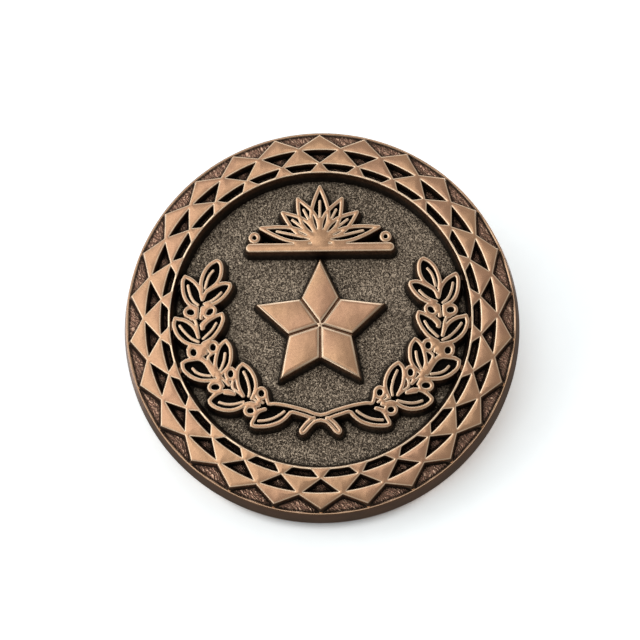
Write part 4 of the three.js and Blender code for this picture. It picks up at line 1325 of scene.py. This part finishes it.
def lever_mesh(turn):
    """Mid-surface of a lever, on the +x side for turn 1 and turned half round for -1."""
    curve, along = even_curve(LEVER, 400)
    length = along[-1]
    tangent = np.gradient(curve, along, axis=0)
    tangent /= np.linalg.norm(tangent, axis=1)[:, None]
    rows, columns = 84, 33
    vertices = []
    for j in range(rows + 1):
        station_y = float(np.interp(length * j / rows, along, curve[:, 1]))
        half = float(np.interp(station_y, [row[0] for row in EAR], [row[1] for row in EAR]))
        for i in range(columns + 1):
            share = -1 + 2 * i / columns
            z = share * half
            # the foot is notched round the pin, and the ear's top is rounded
            start = max(0.0, .35 + math.sqrt(max(.95 ** 2 - z * z, 0)) - 1.15)
            end = length - .38 * (abs(share) ** 3.0)
            place = start + (end - start) * j / rows
            x, y = (float(np.interp(place, along, curve[:, k])) for k in (0, 1))
            slope_x, slope_y = (float(np.interp(place, along, tangent[:, k])) for k in (0, 1))
            # three ribs pushed outwards across the ear, and a bead up the bend
            rib = 0.0
            for rib_y in RIBS_Y:
                rib += (.085 * math.exp(-((y - rib_y) / .115) ** 2)
                        / (1 + math.exp((abs(z) - 1.55) / .08)))
            if y < 3.9:
                rib += (.07 * math.exp(-(z / .34) ** 2) * min(1, max(0, (x - 1.9) / .5))
                        * min(1, max(0, (3.85 - y) / .5)))
            vertices.append(((x + slope_y * rib) * turn, y - slope_x * rib, z * turn))
    across = columns + 1
    faces = [[k, k + 1, k + across + 1, k + across]
             for j in range(rows) for k in range(j * across, j * across + columns)]
    return vertices, faces


def spring_mesh():
    """A hairpin of wire round the pin, with its ends turned outwards."""
    leg = [(-1.34, 2.93, -2.16), (-1.20, 2.94, -2.13), (-1.06, 2.95, -2.04), (-.98, 2.95, -1.88)]
    leg += [(-SPRING_X, SPRING_Y, z) for z in np.linspace(SPRING_Z0, SPRING_Z1, 9)]
    loop = [(-SPRING_X * math.cos(t), SPRING_Y, SPRING_Z1 + SPRING_X * math.sin(t))
            for t in np.linspace(0, math.pi, 25)[1:-1]]
    path = np.array(leg + loop + [(-x, y, z) for x, y, z in reversed(leg)], float)
    count, last = 20, len(path) - 1
    vertices, rows = [], []
    for i, point in enumerate(path):
        along = path[min(i + 1, last)] - path[max(i - 1, 0)]
        along /= np.linalg.norm(along)
        across = np.cross(along, np.array([0, 1.0, 0]))
        across /= np.linalg.norm(across)
        up = np.cross(across, along)
        # share of the radius, shift along the wire; narrower rings close the ends
        rings = [(1.0, 0)]
        if i == 0:
            rings.insert(0, (.72, -.05))
        if i == last:
            rings.append((.72, .05))
        for scale, shift in rings:
            rows.append([len(vertices) + k for k in range(count)])
            for k in range(count):
                angle = 2 * math.pi * k / count
                offset = across * math.cos(angle) + up * math.sin(angle)
                vertices.append(tuple(point + along * shift + offset * SPRING_R * scale))
    return vertices, [rows[0], rows[-1]] + bridge(rows)


def solid(name, shape, place, merge=True, smooth_faces=True):
    """A mesh object from a shape in mm round a post's axis at (x, z)."""
    points_mm = np.asarray(shape[0], float)
    placed = np.stack([points_mm[:, 0] + place[0], points_mm[:, 1],
                       points_mm[:, 2] + place[1]], 1) / 1000.0
    made = mesh_object(name, placed, shape[1], smooth_faces)
    work = bmesh.new()
    work.from_mesh(made.data)
    if merge:
        bmesh.ops.remove_doubles(work, verts=work.verts, dist=1e-8)
    bmesh.ops.recalc_face_normals(work, faces=work.faces)
    work.to_mesh(made.data)
    work.free()
    return made


def shade(target, degrees):
    mesh = target.data
    mesh.polygons.foreach_set("use_smooth", [True] * len(mesh.polygons))
    mesh.set_sharp_from_angle(angle=math.radians(degrees))


def piece(name, shape, material, body, node, place, sharp=32):
    made = solid(name, shape, place)
    shade(made, sharp)
    made.data.materials.append(material)
    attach(made, body)
    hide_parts(node)
    return made


def cut(target, shape, place):
    """Cuts a shape out of an object and keeps the result as its mesh."""
    cutter = solid("cutter", shape, place, merge=False, smooth_faces=False)
    boolean = target.modifiers.new("cut", "BOOLEAN")
    boolean.operation = "DIFFERENCE"
    boolean.solver = "EXACT"
    boolean.object = cutter
    bpy.context.view_layer.update()
    evaluated = target.evaluated_get(bpy.context.evaluated_depsgraph_get())
    made = bpy.data.meshes.new_from_object(evaluated)
    target.modifiers.clear()
    target.data = made
    bpy.data.objects.remove(cutter)
    shade(target, 32)


def add_sheet(lever):
    """Gives a lever's mid-surface its thickness and rounded edges."""
    sheet = lever.modifiers.new("sheet", "SOLIDIFY")
    sheet.thickness = LEVER_SHEET / 1000
    sheet.offset = 0
    sheet.use_even_offset = True
    edges = lever.modifiers.new("edges", "BEVEL")
    edges.width = LEVER_EDGE / 1000
    edges.segments = 3
    edges.limit_method = "ANGLE"
    edges.angle_limit = math.radians(50)
    lever.modifiers.new("shade", "WEIGHTED_NORMAL").keep_sharp = True


POST, CUP, COVER, SPRING, CUTTER = (post_mesh(), cup_mesh(), cover_mesh(), spring_mesh(),
                                    slot_cutter())
# side, sign of x, phase of the solder's uneven edge
for side, sign, phase in (("left", -1, .8), ("right", 1, 2.9)):
    place, clutch = (sign * POST_X, POST_Z), f"clutch_{side}"
    piece(f"post_{side}_wire", POST, STEEL, "badge", f"post_{side}", place)
    piece(f"solder_{side}_ring", solder_mesh(phase), TIN, "badge", f"solder_{side}",
          place, sharp=60)
    piece(f"{clutch}_cup", CUP, BRASS, clutch, f"{clutch}_base", place, sharp=40)
    cap = piece(f"{clutch}_cap", COVER, BRASS, clutch, f"{clutch}_cover", place)
    cut(cap, CUTTER, place)
    piece(f"{clutch}_wire", SPRING, BRONZE, clutch, f"{clutch}_spring", place,
          sharp=50)
    for which, turn in (("outer", sign), ("inner", -sign)):
        wing = f"{clutch}_wing_{which}"
        add_sheet(piece(f"{clutch}_lever_{which}", lever_mesh(turn), BRASS, wing, wing,
                        place))

# =============================================================================
# Stage: a white table that touches the bottom of the rim and the tips of the pins
# =============================================================================
TABLE_SIZE, TABLE_GAP = .9, .00002      # metres
LEAN = math.atan2(PIN_L, DISC_R + POST_Z)
table_normal = Vector((0, -math.cos(LEAN), math.sin(LEAN)))
table_up = Vector((0, math.sin(LEAN), math.cos(LEAN)))


def white_table():
    """Over-exposed paper with a painted contact shadow where the badge rests, and clear from behind."""
    g = Material("white_table")
    paper = g.ramp(g.noise(scale=.8), over=(.3, .7))
    # painted contact shadow: the paper darkens and glows less where the badge comes close
    contact_shade = g.openness(reach_mm=1.1, samples=12, only_local=False)
    tone = g.blend(paper, base=(.757, .812, .856), paint=(.743, .797, .841))
    tone = g.blend(g.ramp(contact_shade, over=(.90, .35), to=(0, .72)), tone, paint=(.10, .10, .105))
    white = g.node("ShaderNodeBsdfDiffuse", {"Color": tone})
    doubled = g.node("ShaderNodeAddShader", {0: white, 1: white})
    glow = g.node("ShaderNodeEmission", {
        "Color": (.975, .995, 1), "Strength": g.ramp(contact_shade, over=(.35, .95), to=(.04, .19))})
    lit = g.node("ShaderNodeAddShader", {0: doubled, 1: glow})
    backfacing = g.node("ShaderNodeNewGeometry", out="Backfacing")
    clear = g.node("ShaderNodeBsdfTransparent")
    g.surface(g.node("ShaderNodeMixShader", {0: backfacing, 1: lit, 2: clear}))
    return g.material


def build_table():
    middle = Vector((0, 0, -DISC_R / 1000.0)) - table_normal * TABLE_GAP
    half_x, half_up = Vector((1, 0, 0)) * TABLE_SIZE / 2, table_up * TABLE_SIZE / 2
    corners = [list(middle + half_x * i + half_up * j)
               for i, j in ((-1, -1), (1, -1), (1, 1), (-1, 1))]
    table = mesh_object("table_top", corners, [[0, 1, 2, 3]], smooth_faces=False)
    table.data.materials.append(white_table())
    for ray in ("diffuse", "glossy", "transmission", "volume_scatter", "shadow"):
        setattr(table, f"visible_{ray}", False)


def build_world():
    """White to the camera; to the rest a soft room, brighter overhead and to the left."""
    world = bpy.data.worlds.new("studio")
    bpy.context.scene.world = world
    g = Graph(world, "ShaderNodeOutputWorld")
    bright_side = (table_normal * .85 + Vector((-.35, 0, .25))).normalized()
    facing = g.node("ShaderNodeVectorMath", {0: g.coords["Generated"], 1: tuple(bright_side)},
                    "Value", operation="DOT_PRODUCT")
    room = g.node("ShaderNodeValToRGB", {"Fac": g.linear(facing, over=(-1, 1))}, "Color")
    stops = room.node.color_ramp.elements
    stops[0].position, stops[0].color = .0, (.245, .220, .195, 1)
    stops[1].position, stops[1].color = 1.0, (.95, .93, .90, 1)
    stops.new(.62).color = (.350, .322, .292, 1)
    seen = g.node("ShaderNodeBackground", {"Color": (1, 1, 1, 1), "Strength": 1.0})
    light = g.node("ShaderNodeBackground", {"Color": room, "Strength": .64})
    camera_ray = g.node("ShaderNodeLightPath", out="Is Camera Ray")
    g.surface(g.node("ShaderNodeMixShader", {0: camera_ray, 1: light, 2: seen}))


# name, place and size in metres, radiance, colour, turn about its own axis in degrees.
# The key sits where the face mirrors the camera's line of sight, shifted to the left; the last
# two light the back and the clutches.
SOFTBOXES = [
    ("key", (-.108, -.400, .062), (.165, .22), 1.19, (.985, 1.0, .95), -28),
    ("fill_left", (-.30, -.20, .06), (.20, .26), 1.2, (1.0, .98, .94), 0),
    ("edge_right", (.26, -.24, .03), (.06, .22), .25, (1.0, .975, .95), 0),
    ("edge_left", (-.26, -.13, -.16), (.20, .14), 1.35, (1.0, .985, .96), 0),
    ("fill_top", (-.06, -.17, .34), (.40, .16), .95, (.98, .99, 1.0), 0),
    ("back_key", (.16, .34, .26), (.26, .22), 3.6, (1.0, .99, .97), 0),
    ("back_fill", (-.30, .26, .12), (.22, .30), 2.3, (.98, .99, 1.0), 0)]


def build_softbox(name, place, size, radiance, colour, degrees):
    """An area light aimed at the origin."""
    light = bpy.data.lights.new(name, "AREA")
    light.shape = "RECTANGLE"
    light.size, light.size_y = size
    light.energy = radiance * math.pi * size[0] * size[1]
    light.color = colour
    box = bpy.data.objects.new(name, light)
    bpy.context.scene.collection.objects.link(box)
    box.location = place
    aim = (Vector((0, 0, 0)) - Vector(place)).to_track_quat("-Z", "Y")
    box.rotation_euler = (aim @ Quaternion((0, 0, 1), math.radians(degrees))).to_euler()
    box.visible_camera = False


# Camera, aimed at the middle of the face
TILT = math.radians(12.598)             # away from the face's axis
TILT_TOWARD = math.radians(98.269)      # direction of the tilt in the face plane
ROLL = math.radians(.385)
DISTANCE = 7.562                        # drawing units
SENSOR_MM, LENS_MM = 36.0, 80.404572
SHIFT_X, SHIFT_Y = -.00028, -.00533     # shares of the sensor's width


def build_camera():
    cos_tilt, sin_tilt = math.cos(TILT), math.sin(TILT)
    cos_toward, sin_toward = math.cos(TILT_TOWARD), math.sin(TILT_TOWARD)
    toward = np.array([cos_toward, sin_toward, 0])
    beside = np.array([-sin_toward, cos_toward, 0])
    out = np.array([0, 0, 1.0])
    right = cos_toward * cos_tilt * toward + cos_toward * sin_tilt * out - sin_toward * beside
    up = sin_toward * cos_tilt * toward + sin_toward * sin_tilt * out + cos_toward * beside
    back = -sin_tilt * toward + cos_tilt * out
    roll = np.array([[math.cos(-ROLL), -math.sin(-ROLL), 0],
                     [math.sin(-ROLL), math.cos(-ROLL), 0],
                     [0, 0, 1]])
    right, up, back = (Vector(to_world(roll @ axis)) for axis in (right, up, back))
    camera = bpy.data.cameras.new("photo_camera")
    holder = bpy.data.objects.new("photo_camera", camera)
    bpy.context.scene.collection.objects.link(holder)
    matrix = Matrix((right, up, back)).transposed().to_4x4()
    matrix.translation = Vector((0, -THICK, 0)) / 1000.0 + back * (DISTANCE * UNIT / 1000.0)
    holder.matrix_world = matrix
    camera.sensor_width = SENSOR_MM
    camera.lens = LENS_MM
    camera.shift_x, camera.shift_y = SHIFT_X, SHIFT_Y
    camera.clip_start, camera.clip_end = .005, 10
    bpy.context.scene.camera = holder


build_table()
build_world()
for row in SOFTBOXES:
    build_softbox(*row)
build_camera()

view = bpy.context.scene.view_settings
view.view_transform = "Standard"
view.look = "None"
view.exposure = 0.0
view.gamma = 1.0
